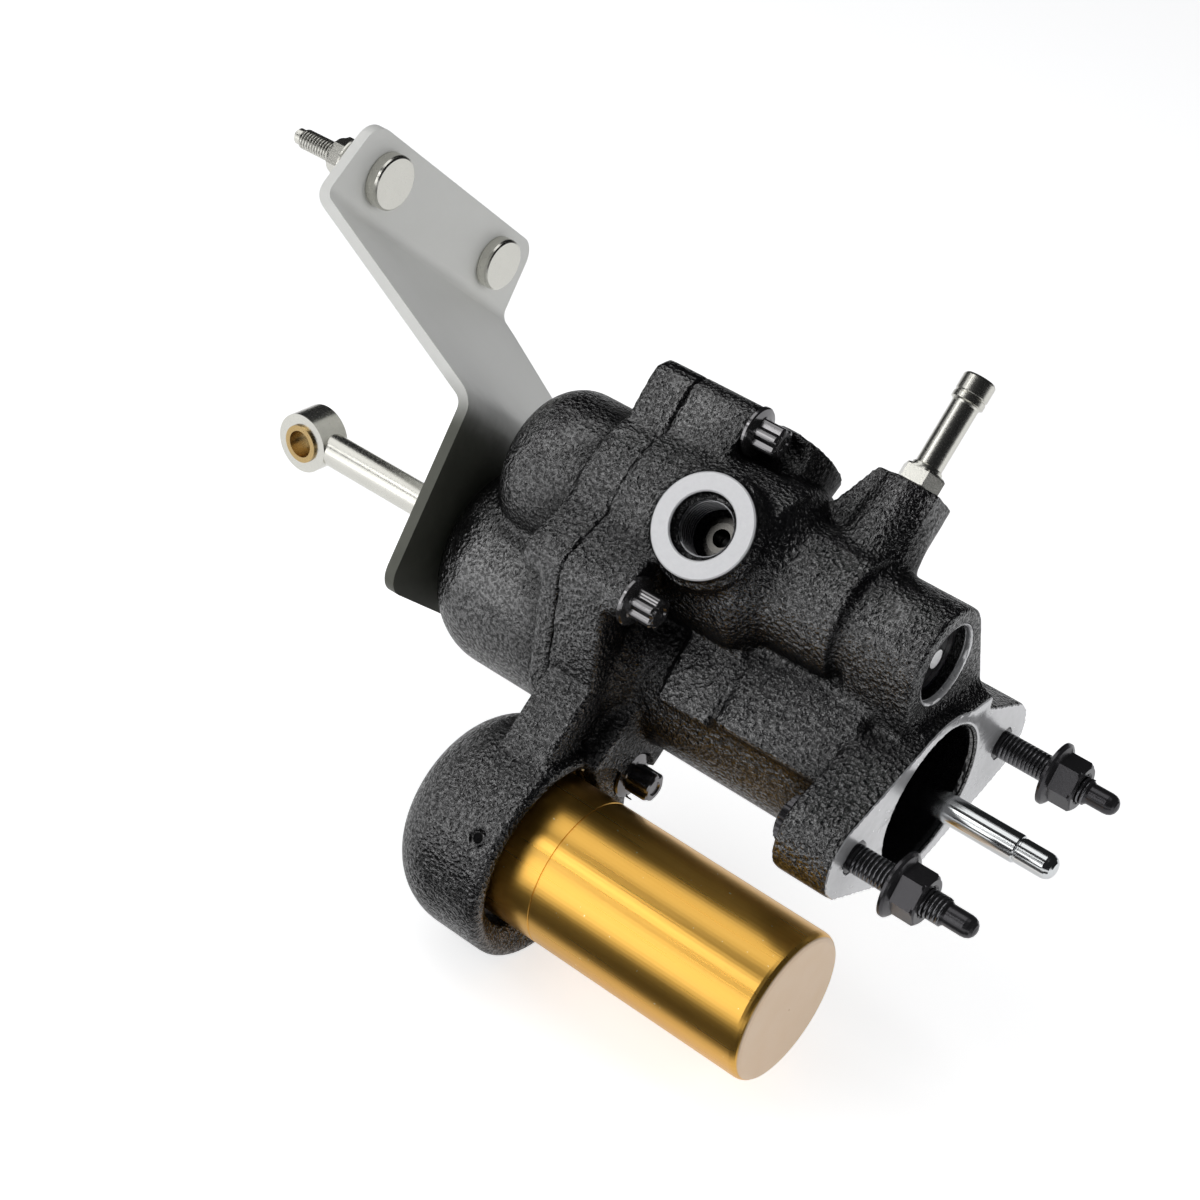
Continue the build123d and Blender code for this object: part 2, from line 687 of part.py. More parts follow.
yoke_front_x = spool_rear_x
yoke_rear_x = yoke_front_x - yoke_length
yoke = rod(yoke_radius, yoke_rear_x, yoke_front_x, 0, spool_rise)
yoke += rod(yoke_stem_radius - screw_gap, yoke_front_x, yoke_front_x + yoke_stem_length - 1, 0, spool_rise)
tip_room = lever_tip_radius + lever_tip_gap
flare = (yoke_radius + 1) * lever_top_lead / lever_top_rise
slot_outline = [
    (-tip_room, yoke_radius + 1),
    (tip_room, yoke_radius + 1),
    (tip_room, 0),
    (tip_room + flare, -yoke_radius - 1),
    (-tip_room - flare, -yoke_radius - 1),
    (-tip_room, 0),
]
slot_plane = Plane(
    origin=(lever_top_x, lever_thickness / 2 + lever_side_gap, spool_rise),
    x_dir=(1, 0, 0),
    z_dir=(0, -1, 0),
)
slot_face = make_face(Polyline(slot_outline, close=True))
yoke -= extrude(slot_plane * slot_face, lever_thickness + 2 * lever_side_gap)

spool_spring = coil(
    spool_spring_mean, spool_spring_wire, spool_spring_coils, spool_end_x, plug_seat_x, 0, spool_rise
)

plug_radius = plug_recess_radius - plug_gap
plug = rod(plug_radius, plug_seat_x, plug_seat_x + plug_length, 0, spool_rise)
plug_face_x = plug_seat_x + plug_length
plug += rod(plug_nub_radius, plug_face_x, plug_face_x + plug_nub_length, 0, spool_rise)
plug_seal_x = plug_seat_x + plug_length / 2
plug_seal_mean = plug_recess_radius - seal_wire / 2 - seal_gap
seal_half = seal_wire / 2 + seat_gap
seal_inner = plug_seal_mean - seal_wire / 2 - seal_gap
plug -= ring(plug_radius + 1, seal_inner, plug_seal_x - seal_half, plug_seal_x + seal_half, 0, spool_rise)
plug_seal = o_ring(plug_seal_mean, seal_wire, plug_seal_x, 0, spool_rise)


def snap_ring(outer, width, eye, x0, thickness, y, z, open_angle):
    """An internal snap ring with two round eyes beside its gap, which faces open_angle."""
    body = ring(outer, outer - width, x0, x0 + thickness, y, z)
    half = ring_gap_angle / 2
    reach = outer + 2
    edge = [(0, 0)]
    for angle in (open_angle - half, open_angle, open_angle + half):
        edge.append((reach * cos(radians(angle)), reach * sin(radians(angle))))
    cutter = extrude(across(x0 - 1) * Pos(y, z) * make_face(Polyline(edge, close=True)), thickness + 2)
    body -= cutter
    for angle in (open_angle - half - 4, open_angle + half + 4):
        eye_y = y + (outer - eye) * cos(radians(angle))
        eye_z = z + (outer - eye) * sin(radians(angle))
        body += rod(eye, x0, x0 + thickness, eye_y, eye_z)
        body -= rod(eye / 2, x0 - 1, x0 + thickness + 1, eye_y, eye_z)
    return body


plug_ring_outer = plug_groove - seat_gap
plug_snap_ring = snap_ring(
    plug_ring_outer, plug_ring_width, plug_ring_eye, plug_ring_x, plug_ring_thickness, 0, spool_rise, 200
)

# Power piston and output rod
piston = rod(piston_radius, piston_rear_x, piston_front_x)
piston -= rod(spring_pocket_radius, pocket_x, piston_front_x + 1)
head_x = pocket_x - output_head_length
piston -= rod(output_head_radius + screw_gap, head_x, pocket_x + 1)
piston -= rod(rod_socket_radius, piston_rear_x - 1, piston_rear_x + rod_socket_depth)
cheek_half = lever_thickness / 2 + lever_side_gap
cheek_low = lever_pin_rise - lever_hub_radius - cast_gap
cheek_front_x = lever_pin_x + lever_hub_radius + cheek_room
piston -= slab(piston_rear_x - 1, cheek_front_x, -cheek_half, cheek_half, cheek_low, piston_radius + 1)
pin_plane = Plane(origin=(lever_pin_x, 0, lever_pin_rise), x_dir=(1, 0, 0), z_dir=(0, 1, 0))
piston -= pin_plane * Cylinder(lever_pin_radius + screw_gap, 4 * piston_radius)
lever_pin = pin_plane * Cylinder(lever_pin_radius, 2 * lever_pin_half)

rod_step_x = output_rod_reach - output_rod_tip_share
output_rod = rod(output_head_radius, head_x, pocket_x) + rod(output_rod_radius, pocket_x, rod_step_x)
output_rod += rod(output_rod_tip_radius, rod_step_x, output_rod_reach)
tip_edge = output_rod.edges().filter_by(GeomType.CIRCLE).sort_by(Axis.X)[-1]
output_rod = fillet(tip_edge, output_rod_tip_radius * 0.8)

retainer_outer = spring_pocket_radius - retainer_rim_gap
retainer_x = pocket_x + retainer_thickness
retainer = ring(retainer_outer, output_rod_radius + screw_gap, pocket_x, retainer_x)
return_spring = coil(spring_mean_radius, spring_wire, spring_coils, retainer_x, lip_rear_x)
seal_outer = bore_fit + piston_seal_depth - seal_gap
piston_seal_end_x = piston_seal_x + piston_seal_width - seal_gap
piston_seal = ring(seal_outer, bore_fit, piston_seal_x + seal_gap, piston_seal_end_x)

# Lever from the piston pin up to the yoke, drawn in its rest tilt
lever_plane = Plane(origin=(0, lever_thickness / 2, 0), x_dir=(1, 0, 0), z_dir=(0, -1, 0))
hub_point = (lever_pin_x, lever_pin_rise)
tip_point = (lever_top_x, spool_rise)
hub_end = (Pos(*hub_point) * Circle(lever_web_half)).edges()
tip_end = (Pos(*tip_point) * Circle(lever_web_half)).edges()
lever_outline = make_hull(hub_end + tip_end) + Pos(*hub_point) * Circle(lever_hub_radius)
lever_outline += Pos(*tip_point) * Circle(lever_tip_radius)
lever_outline -= Pos(*hub_point) * Circle(lever_pin_radius + running_gap)
lever = extrude(lever_plane * lever_outline, lever_thickness)

# Input rod with its pedal eye
input_rod = rod(input_rod_radius, eye_x, input_front_x)
input_rod += rod(input_ball_radius, input_front_x - input_ball_length, input_front_x)
collar_x = input_front_x - input_collar_setback
input_rod += rod(input_collar_radius, collar_x, collar_x + input_collar_length)
eye_plane = Plane(origin=(eye_x, 0, 0), x_dir=(1, 0, 0), z_dir=(0, 1, 0))
input_rod += eye_plane * Cylinder(eye_radius, eye_thickness)
input_rod -= eye_plane * Cylinder(eye_bush_radius + screw_gap, eye_thickness * 2)
eye_bush = eye_plane * Cylinder(eye_bush_radius, eye_thickness + 2 * eye_bush_overhang)
eye_bush -= eye_plane * Cylinder(eye_bore_radius, eye_thickness * 2)
input_seal_end_x = seal_x + input_seal_length - seal_gap
input_seal = ring(
    input_seal_outer - seal_gap, input_rod_radius + running_gap, seal_x + seal_gap, input_seal_end_x
)

# Accumulator can, its snap ring, seal, gas piston and feed valve
can_rear_x = cup_floor_x
can = rod(can_radius, can_rear_x, -can_front_setback, can_y, can_z)
can_edge = can.edges().filter_by(GeomType.CIRCLE).sort_by(Axis.X)[-1]
can = fillet(can_edge, can_end_corner)
can += rod(can_foot_radius, can_rear_x, can_rear_x + can_foot_length, can_y, can_z)
can_bore = can_radius - can_wall
can -= rod(can_bore, can_rear_x - 1, -can_front_setback - can_wall, can_y, can_z)
seal_room = cup_seal_wire / 2 + seat_gap
can_seal_x = can_rear_x + can_foot_length / 2
can -= ring(can_foot_radius + 1, can_radius, can_seal_x - seal_room, can_seal_x + seal_room, can_y, can_z)
can_seal_wire = can_foot_radius - can_radius
can_seal = o_ring(can_radius + can_seal_wire / 2, can_seal_wire, can_seal_x, can_y, can_z)
cup_ring_outer = cup_bore_radius + cup_ring_depth - seat_gap
cup_ring_width = cup_ring_outer - can_radius - cup_ring_gap
can_snap_ring = snap_ring(
    cup_ring_outer, cup_ring_width, cup_ring_width / 2, cup_groove_x, cup_ring_thickness, can_y, can_z, 20
)
gas_piston_x = can_rear_x + gas_piston_rest
gas_piston = rod(can_bore - gas_piston_gap, gas_piston_x, gas_piston_x + gas_piston_length, can_y, can_z)
gas_cup_x = gas_piston_x + gas_piston_floor
gas_piston -= rod(can_bore - gas_piston_skirt, gas_cup_x, gas_cup_x + gas_piston_length, can_y, can_z)
gas_seal_x = gas_piston_x + (gas_piston_length - gas_seal_width) / 2
gas_groove = can_bore - gas_seal_depth
gas_seal_end_x = gas_seal_x + gas_seal_width
gas_piston -= ring(can_bore + 1, gas_groove, gas_seal_x, gas_seal_end_x, can_y, can_z)
gas_seal = ring(can_bore - seal_gap, gas_groove, gas_seal_x, gas_seal_end_x, can_y, can_z)
check_valve = spoke(feed_base, accumulator_angle, check_valve_radius, valve_start, cup_wall_at - cast_gap)
check_valve -= spoke(feed_base, accumulator_angle, check_valve_bore, valve_start - 1, accumulator_reach)

# Master cylinder studs and nuts
mc_sizes = (
    flange_thickness, mc_stud_reach, mc_stud_shank, mc_stud_radius, mc_thread_root,
    mc_head_radius, mc_head_height, mc_tip_radius, mc_tip_length,
)
mc_nut_hole = mc_thread_root + screw_gap
mc_nut_sizes = (mc_nut_flats, mc_nut_height, mc_nut_flange_radius, mc_nut_flange_thickness, mc_nut_hole)
mc_nut_seats = (mc_near_nut_stand_off, mc_far_nut_stand_off)
mc_studs = [stud(place, 0, 1, seat, mc_sizes) for place, seat in zip(mc_places, mc_nut_seats)]
mc_nuts = [flange_nut(place, seat, 1, mc_nut_sizes) for place, seat in zip(mc_places, mc_nut_seats)]

# Bracket: a bent sheet whose side view is cut to its front outline
base_x = cover_x
flange_x = base_x - bracket_sheet - bracket_arm_length
low = -bracket_base_low
knee = bracket_base_high
top_knee = knee + bracket_arm_rise
flange_top = top_knee + bracket_flange_height
lean = atan2(bracket_arm_length, bracket_arm_rise)
shift = bracket_sheet * (1 - cos(lean)) / sin(lean)
side_view = Polyline(
    [
        (base_x, low),
        (base_x, knee + shift),
        (flange_x, top_knee + shift),
        (flange_x, flange_top),
        (flange_x - bracket_sheet, flange_top),
        (flange_x - bracket_sheet, top_knee),
        (base_x - bracket_sheet, knee),
        (base_x - bracket_sheet, low),
    ],
    close=True,
)
sheet = make_face(side_view)
flange_back_x = flange_x - bracket_sheet
corners = sheet.vertices()
inner = corners.filter_by(lambda v: abs(v.X - base_x + bracket_sheet) < 0.01 and v.Y > low + 1)
inner += corners.filter_by(lambda v: abs(v.X - flange_x) < 0.01 and v.Y < flange_top - 1)
sheet = fillet(inner, bracket_bend)
corners = sheet.vertices()
outer = corners.filter_by(lambda v: abs(v.X - base_x) < 0.01 and v.Y > low + 1)
outer += corners.filter_by(lambda v: abs(v.X - flange_back_x) < 0.01 and v.Y < flange_top - 1)
sheet = fillet(outer, bracket_bend + bracket_sheet)
side_plane = Plane(origin=(0, 0, 0), x_dir=(1, 0, 0), z_dir=Vector(1, 0, 0).cross(outward))
blank = extrude(side_plane * sheet, 2 * bracket_flange_half, both=True)
front_view = Polyline(
    [
        (low, -bracket_base_low_half),
        (knee, -bracket_base_high_half),
        (top_knee, -bracket_flange_half),
        (flange_top, -bracket_flange_top_half),
        (flange_top, bracket_flange_top_half),
        (top_knee, bracket_flange_half),
        (knee, bracket_base_high_half),
        (low, bracket_base_low_half),
    ],
    close=True,
)
outline = make_face(front_view)
outline = fillet(outline.vertices(), bracket_corner)
front_plane = Plane(origin=(flange_x - bracket_arm_length, 0, 0), x_dir=outward, z_dir=(1, 0, 0))
bracket = blank & extrude(front_plane * outline, 3 * bracket_arm_length)
bracket -= rod(hub_radius + seat_gap, base_x - bracket_sheet - 1, base_x + 1)
for y, z in fw_places:
    bracket -= rod(fw_stud_shank + screw_gap, flange_x - bracket_sheet - 1, flange_x + 1, y, z)

nut_x = base_x - bracket_sheet
hub_nut = hexagon(hub_nut_flats, nut_x - hub_nut_height, nut_x)
hub_nut -= rod(hub_radius + screw_gap, nut_x - hub_nut_height - 1, nut_x + 1)

fw_sizes = (
    bracket_sheet, fw_stud_reach, fw_stud_shank, fw_stud_radius, fw_thread_root,
    fw_head_radius, fw_head_height, fw_tip_radius, fw_tip_length,
)
fw_nut_hole = fw_thread_root + screw_gap
fw_nut_sizes = (fw_nut_flats, fw_nut_height, fw_nut_flange_radius, fw_nut_flange_thickness, fw_nut_hole)
fw_face_x = flange_x - bracket_sheet
fw_studs = [stud(place, fw_face_x, -1, fw_nut_stand_off, fw_sizes) for place in fw_places]
fw_nuts = [flange_nut(place, fw_face_x - fw_nut_stand_off, -1, fw_nut_sizes) for place in fw_places]

nodes = {
    "booster_housing": housing,
    "housing_cover": cover,
    "cover_gasket": gasket,
    "cover_bolts": cover_bolts,
    "inlet_port_seat": inlet_seat,
    "return_nipple": nipple,
    "spool_plug": plug,
    "spool_plug_seal": plug_seal,
    "spool_retaining_ring": plug_snap_ring,
    "spool_valve": spool,
    "spool_yoke": yoke,
    "spool_spring": spool_spring,
    "power_piston": piston,
    "piston_seal": piston_seal,
    "output_rod": output_rod,
    "output_rod_retainer": retainer,
    "return_spring": return_spring,
    "lever": lever,
    "lever_pin": lever_pin,
    "input_rod": input_rod,
    "input_rod_bush": eye_bush,
    "input_rod_seal": input_seal,
    "accumulator_can": can,
    "accumulator_seal": can_seal,
    "accumulator_retaining_ring": can_snap_ring,
    "accumulator_piston": gas_piston,
    "accumulator_piston_seal": gas_seal,
    "accumulator_check_valve": check_valve,
    "mounting_bracket": bracket,
    "bracket_hub_nut": hub_nut,
    "firewall_studs": fw_studs,
    "firewall_nuts": fw_nuts,
    "master_cylinder_studs": mc_studs,
    "master_cylinder_nuts": mc_nuts,
}
for name, shape in nodes.items():
    if isinstance(shape, list):
        shape = Compound(children=[Solid(piece.solids()[0].wrapped) for piece in shape])
    elif len(shape.solids()) == 1:
        shape = shape.solids()[0]
    export_step(shape, "parts/" + name + ".step")
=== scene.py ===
"""Looks of the hydraulic brake booster: its cast skins, threads, plated pieces and studio."""

import math

import bmesh
import bpy
import numpy as np
from mathutils import Matrix, Vector


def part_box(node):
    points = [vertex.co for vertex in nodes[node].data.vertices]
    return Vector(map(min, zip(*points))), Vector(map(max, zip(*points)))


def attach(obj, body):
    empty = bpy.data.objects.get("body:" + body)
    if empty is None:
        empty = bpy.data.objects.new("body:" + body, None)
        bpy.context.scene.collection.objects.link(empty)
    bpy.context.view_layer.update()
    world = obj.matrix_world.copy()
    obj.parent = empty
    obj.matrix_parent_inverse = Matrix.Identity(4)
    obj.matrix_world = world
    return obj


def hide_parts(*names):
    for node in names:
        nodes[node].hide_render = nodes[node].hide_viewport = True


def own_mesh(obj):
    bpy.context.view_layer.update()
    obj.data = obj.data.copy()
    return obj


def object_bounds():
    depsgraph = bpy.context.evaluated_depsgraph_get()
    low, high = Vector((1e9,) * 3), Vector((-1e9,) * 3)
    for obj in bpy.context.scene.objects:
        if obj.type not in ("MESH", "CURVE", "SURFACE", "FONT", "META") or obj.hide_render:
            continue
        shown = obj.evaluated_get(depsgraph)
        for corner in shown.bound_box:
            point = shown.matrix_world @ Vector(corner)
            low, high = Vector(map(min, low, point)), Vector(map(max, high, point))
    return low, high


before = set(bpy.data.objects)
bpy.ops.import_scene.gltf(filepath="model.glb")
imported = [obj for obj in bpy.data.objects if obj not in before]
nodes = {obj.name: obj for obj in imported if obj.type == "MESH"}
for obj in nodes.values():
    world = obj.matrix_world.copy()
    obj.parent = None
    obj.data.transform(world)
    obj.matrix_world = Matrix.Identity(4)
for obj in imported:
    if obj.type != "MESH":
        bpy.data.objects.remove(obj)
cad_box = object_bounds()
scene = bpy.context.scene

# Places that part.py sets, in millimetres: +X along the piston bore, angles from +Y towards +Z
JOINT_X = -118.0
SPOOL_RISE = 46.5
PORT = dict(angle=143.0, x=-84.0, face=34.0)
OUTLET = dict(angle=37.0, x=-88.0, face=38.0)
NIPPLE = dict(angle=50.0, x=-45.0, face=43.0)
CUP = (78 * math.cos(math.radians(225)), 78 * math.sin(math.radians(225)))
BOLTS = [(11.0, 81.5), (-40.0, 39.5), (-22.0, -37.0), (31.0, -33.0), (39.0, 38.0)]
BOLT_SEAT_X = -95.0
STUDS = [(-43.0, 0.0, 15.0), (43.0, 0.0, 19.0)]
BRACKET_ANGLE = 53.5
FIREWALL_FACE_X = -268.0

# Cast skins, in millimetres, and the most triangles that one may have
SKIN_VOXEL = 0.95
SKIN_ROUNDS = 14
SKIN_FILL, SKIN_WEAR = 0.55, 0.10
SKIN_TRIANGLES = 190000

X_AXIS = (1, 0, 0)


def way(angle):
    """The unit vector across the bore at an angle."""
    return np.array([0.0, math.cos(math.radians(angle)), math.sin(math.radians(angle))])


# Shader graphs

class Signal:
    """A shader socket that takes part in Python arithmetic by adding Math nodes."""

    def __init__(self, graph, socket):
        self.graph = graph
        self.socket = socket

    def __add__(self, other):
        return self.graph.math("ADD", self, other)

    def __sub__(self, other):
        return self.graph.math("SUBTRACT", self, other)

    def __rsub__(self, other):
        return self.graph.math("SUBTRACT", other, self)

    def __mul__(self, other):
        return self.graph.math("MULTIPLY", self, other)

    __radd__ = __add__
    __rmul__ = __mul__


class Graph:
    """A shader tree, built node by node."""

    def __init__(self, tree):
        self.tree = tree
        self.tree.nodes.clear()

    def node(self, kind, settings=None, values=None, out=0):
        """Adds a node, sets its properties, then links or sets its sockets. Gives back one of its outputs."""
        made = self.tree.nodes.new(kind)
        for key, value in (settings or {}).items():
            setattr(made, key, value)
        for key, value in (values or {}).items():
            if isinstance(value, Signal):
                self.tree.links.new(value.socket, made.inputs[key])
            else:
                made.inputs[key].default_value = value
        return Signal(self, made.outputs[out]) if made.outputs else None

    def math(self, operation, a, b):
        return self.node("ShaderNodeMath", {"operation": operation}, {0: a, 1: b})

    def rays(self, kind):
        """1 on rays of that kind and 0 on others."""
        return self.node("ShaderNodeLightPath", out=kind)


class Finish(Graph):
    """One material."""

    def __init__(self, name):
        self.material = bpy.data.materials.new(name)
        self.material.use_nodes = True
        super().__init__(self.material.node_tree)
        self.place = self.node("ShaderNodeTexCoord", out="Object")

    def vector(self, operation, a, b, out="Vector"):
        return self.node("ShaderNodeVectorMath", {"operation": operation}, {0: a, 1: b}, out)

    def step(self, value, low, high):
        """0 below low, 1 above high and smooth between."""
        return self.node("ShaderNodeMapRange", {"interpolation_type": "SMOOTHSTEP"},
                         {"Value": value, "From Min": low, "From Max": high})

    def noise(self, size, detail=2.0, rough=0.5, at=None):
        """Noise from 0 to 1 whose features are about size millimetres."""
        return self.node("ShaderNodeTexNoise", None, {"Vector": at or self.place, "Scale": 1000.0 / size,
                                                      "Detail": detail, "Roughness": rough}, "Fac")

    def cells(self, size):
        """Smooth pebbles of about size millimetres."""
        return self.node("ShaderNodeTexVoronoi", {"feature": "SMOOTH_F1"},
                         {"Vector": self.place, "Scale": 1000.0 / size}, "Distance")

    def stretched(self, scale):
        """Object coordinates scaled along each axis."""
        return self.node("ShaderNodeMapping", None, {"Vector": self.place, "Scale": scale})

    def blend(self, factor, a, b):
        """Colour a where factor is 0 and b where it is 1."""
        return self.node("ShaderNodeMix", {"data_type": "RGBA"}, {0: factor, 6: a, 7: b}, 2)

    def bump(self, height, depth_mm):
        return self.node("ShaderNodeBump", None,
                         {"Height": height, "Distance": depth_mm / 1000.0, "Strength": 1.0}, "Normal")

    def along(self, direction, origin=(0.0, 0.0, 0.0)):
        """Distance in metres along a direction from an origin given in millimetres."""
        moved = self.vector("SUBTRACT", self.place, tuple(v / 1000 for v in origin))
        return self.vector("DOT_PRODUCT", moved, tuple(direction), "Value")

    def around(self, direction, origin=(0.0, 0.0, 0.0)):
        """Distance in metres from a line through an origin given in millimetres."""
        moved = self.vector("SUBTRACT", self.place, tuple(v / 1000 for v in origin))
        across = self.vector("CROSS_PRODUCT", moved, tuple(direction))
        return self.node("ShaderNodeVectorMath", {"operation": "LENGTH"}, {0: across}, "Value")

    def principled(self, values):
        return self.node("ShaderNodeBsdfPrincipled", None, values)

    def end(self, shader):
        """Ends the material with a shader."""
        self.node("ShaderNodeOutputMaterial", None, {"Surface": shader})
        return self.material

    def close(self, values):
        """Ends the material with one Principled shader."""
        return self.end(self.principled(values))


def grey(v):
    return (v, v, v, 1.0)


def rgba(*colour):
    return (*colour, 1.0)


def machined_faces(f):
    """Two masks of the housing: its milled faces, and the recess in its front."""
    faces = []
    for port in (PORT, OUTLET):
        line, base, level = way(port["angle"]), (port["x"], 0, SPOOL_RISE), port["face"] / 1000
        faces.append(f.step(f.along(line, base), level - 0.0005, level - 0.0003)
                     * f.step(f.around(line, base), 0.0185, 0.0181))
    forward = f.along(X_AXIS)
    faces.append(f.step(forward, -0.00055, -0.00035))
    faces.append(f.step(f.around(X_AXIS, (0, 0, SPOOL_RISE)), 0.0142, 0.0138) * f.step(forward, -0.0095, -0.0090))
    cut = faces[0]
    for face in faces[1:]:
        cut = f.math("MAXIMUM", cut, face)
    recess = f.step(f.around(X_AXIS), 0.0250, 0.0246) * f.step(forward, -0.0345, -0.0335)
    return cut * (1 - recess), recess


def painted_casting(name, machined=True):
    """Gloss black paint over coarse sand-cast grain, with bright machined faces where a cutter has been."""
    f = Finish(name)
    calm = f.step(f.noise(34, 1.0), 0.58, 0.66)
    lumps = f.noise(7.5, 1.0)
    grain = f.noise(1.05, 2.0, 0.55)
    height = (grain + f.cells(1.5) * 0.7) * (1 - calm * 0.5) + lumps * 0.6
    paint = f.blend(f.step(grain, 0.35, 0.75), rgba(0.002, 0.0019, 0.0023), rgba(0.007, 0.0067, 0.0078))
    rough = 0.10 + f.noise(3.0, 2.0) * 0.08
    # Painted shade: ambient occlusion lowers the gloss in hollows and between parts, so sheltered places fall to a
    # dull near-black shader
    painted_shade_occlusion = f.node("ShaderNodeAmbientOcclusion", {"samples": 4, "only_local": True}, {"Distance": 0.022}, "AO")
    gloss = (f.step(grain, 0.40, 0.60) * 0.60 + 0.40) * (f.step(painted_shade_occlusion, 0.62, 0.98) * 0.95 + 0.05)
    metallic = 0.0
    if machined:
        cut, recess = machined_faces(f)
        # The small access hole in the wall of the cup: a dent in the bump with a near-black dull disc in it, painted
        # shade inside the hole
        pin_line, pin_start = way(148), (-104.0, *CUP)
        deep = f.step(f.along(pin_line, pin_start), 0.030, 0.032)
        off_pin = f.around(pin_line, pin_start)
        pin = f.step(off_pin, 0.0021, 0.0016) * deep
        bright = f.blend(f.noise(3.5, 3.0, 0.6), rgba(0.62, 0.62, 0.63), rgba(0.80, 0.80, 0.81))
        paint = f.blend(recess, paint, rgba(0.006, 0.006, 0.007))
        paint = f.blend(pin, f.blend(cut, paint, bright), grey(0.002))
        rough = rough * (1 - recess * 0.25) + cut * 0.12
        height = height + f.step(off_pin, 0.0034, 0.0018) * deep * -1.5
        height = height * (1 - f.math("MAXIMUM", cut, recess) * 0.97)
        gloss = f.math("MAXIMUM", gloss, cut) * (1 - pin)
        metallic = cut * 0.55
    surface = f.bump(height, 0.78)
    # A dull near-black shader for the grain's pits and, through the occlusion, painted shade in sheltered places
    dull_pits_and_painted_shade = f.principled({"Base Color": rgba(0.002, 0.002, 0.0023), "Roughness": 0.55, "Specular IOR Level": 0.08,
                         "Normal": surface})
    crests = f.principled({"Base Color": paint, "Roughness": rough, "Metallic": metallic, "Normal": surface,
                           "Specular IOR Level": 1.0, "IOR": 1.82})
    return f.end(f.node("ShaderNodeMixShader", None, {0: gloss, 1: dull_pits_and_painted_shade, 2: crests}))


def metal(name, colour, rough, grain=0.02, size=0.6, stretch=(1, 1, 1), metallic=1.0):
    """A plated, ground or oxidised metal with fine marks and slight change of tone."""
    f = Finish(name)
    marks = f.noise(size, 3.0, 0.6, f.stretched(stretch))
    tone = f.blend(f.noise(12, 2.0) * 0.6 + marks * 0.4, rgba(*(c * 0.82 for c in colour)), rgba(*colour))
    return f.close({"Base Color": tone, "Metallic": metallic, "Roughness": rough * 0.8 + marks * rough * 0.4,
                    "Normal": f.bump(marks, grain)})


def bracket_finish():
    """Zinc plate, dark olive near the hub and pale further out along the arm."""
    f = Finish("bracket_zinc")
    cloud = f.noise(16, 3.0, 0.6)
    marks = f.noise(1.6, 3.0, 0.6)
    pale = f.blend(cloud * 0.6 + marks * 0.4, rgba(0.86, 0.86, 0.82), rgba(0.93, 0.93, 0.90))
    olive = f.blend(cloud, rgba(0.075, 0.078, 0.062), rgba(0.135, 0.138, 0.110))
    reach = f.along(way(BRACKET_ANGLE)) + cloud * 0.006
    return f.close({"Base Color": f.blend(f.step(reach, 0.030, 0.048), olive, pale), "Metallic": 0.12,
                    "Roughness": 0.42 + marks * 0.14, "Normal": f.bump(marks, 0.04)})


def port_finish():
    """A bright milled port face; below the face's level the counterbore and bore are coloured dark, painted shade
    inside the port.
    """
    f = Finish("port_bright")
    line = way(PORT["angle"])
    base = (PORT["x"], 0, SPOOL_RISE)
    # 1 on the milled face and 0 below it, where the dark colour is painted shade
    face = f.step(f.along(line, base), 0.0331, 0.0337)
    mottle = f.noise(2.6, 3.0, 0.6)
    bright = f.blend(mottle, rgba(0.70, 0.70, 0.715), rgba(0.88, 0.88, 0.89))
    return f.close({"Base Color": f.blend(face, rgba(0.10, 0.10, 0.105), bright), "Metallic": 0.35,
                    "Roughness": 0.32 + mottle * 0.2, "Normal": f.bump(mottle, 0.05)})


def plug_finish():
    """A dark plug with a bright nub in its middle."""
    f = Finish("plug_steel")
    nub = f.step(f.around((1, 0, 0), (0, 0, SPOOL_RISE)), 0.0042, 0.0037)
    marks = f.noise(0.8, 3.0)
    tone = f.blend(nub, f.blend(marks, grey(0.05), grey(0.10)), f.blend(marks, grey(0.62), grey(0.85)))
    return f.close({"Base Color": tone, "Metallic": 0.8, "Roughness": 0.26 + marks * 0.1,
                    "Normal": f.bump(marks, 0.02)})


def gold_finish():
    """Gold anodising drawn along the can, with a few bright specks."""
    f = Finish("gold_anodised")
    streaks = f.noise(1.2, 2.0, 0.5, f.stretched((0.02, 1, 1)))
    specks = f.step(f.noise(1.1, 0.0), 0.85, 0.87)
    # The end face is rougher and less metallic than the body; its pale beige colour is painted reflection of the
    # bright floor
    end = f.step(f.along((1, 0, 0)), -0.0030, -0.0026)
    body = f.blend(streaks, rgba(0.78, 0.42, 0.070), rgba(0.90, 0.53, 0.12))
    tone = f.blend(specks, body, rgba(1.0, 0.86, 0.52))
    tone = f.blend(end, tone, f.blend(f.noise(9, 3.0), rgba(0.90, 0.68, 0.47), rgba(0.95, 0.76, 0.58)))
    rough = 0.25 + streaks * 0.07 + end * 0.2
    return f.close({"Base Color": tone, "Metallic": 0.94 - end * 0.5, "Roughness": rough,
                    "Normal": f.bump(streaks * 0.6 + f.noise(0.5, 2.0) * 0.4, 0.006)})


def rubber_finish():
    f = Finish("seal_rubber")
    skin = f.noise(0.5, 3.0)
    return f.close({"Base Color": f.blend(skin, grey(0.012), grey(0.03)), "Roughness": 0.6 + skin * 0.2,
                    "Normal": f.bump(skin, 0.03)})


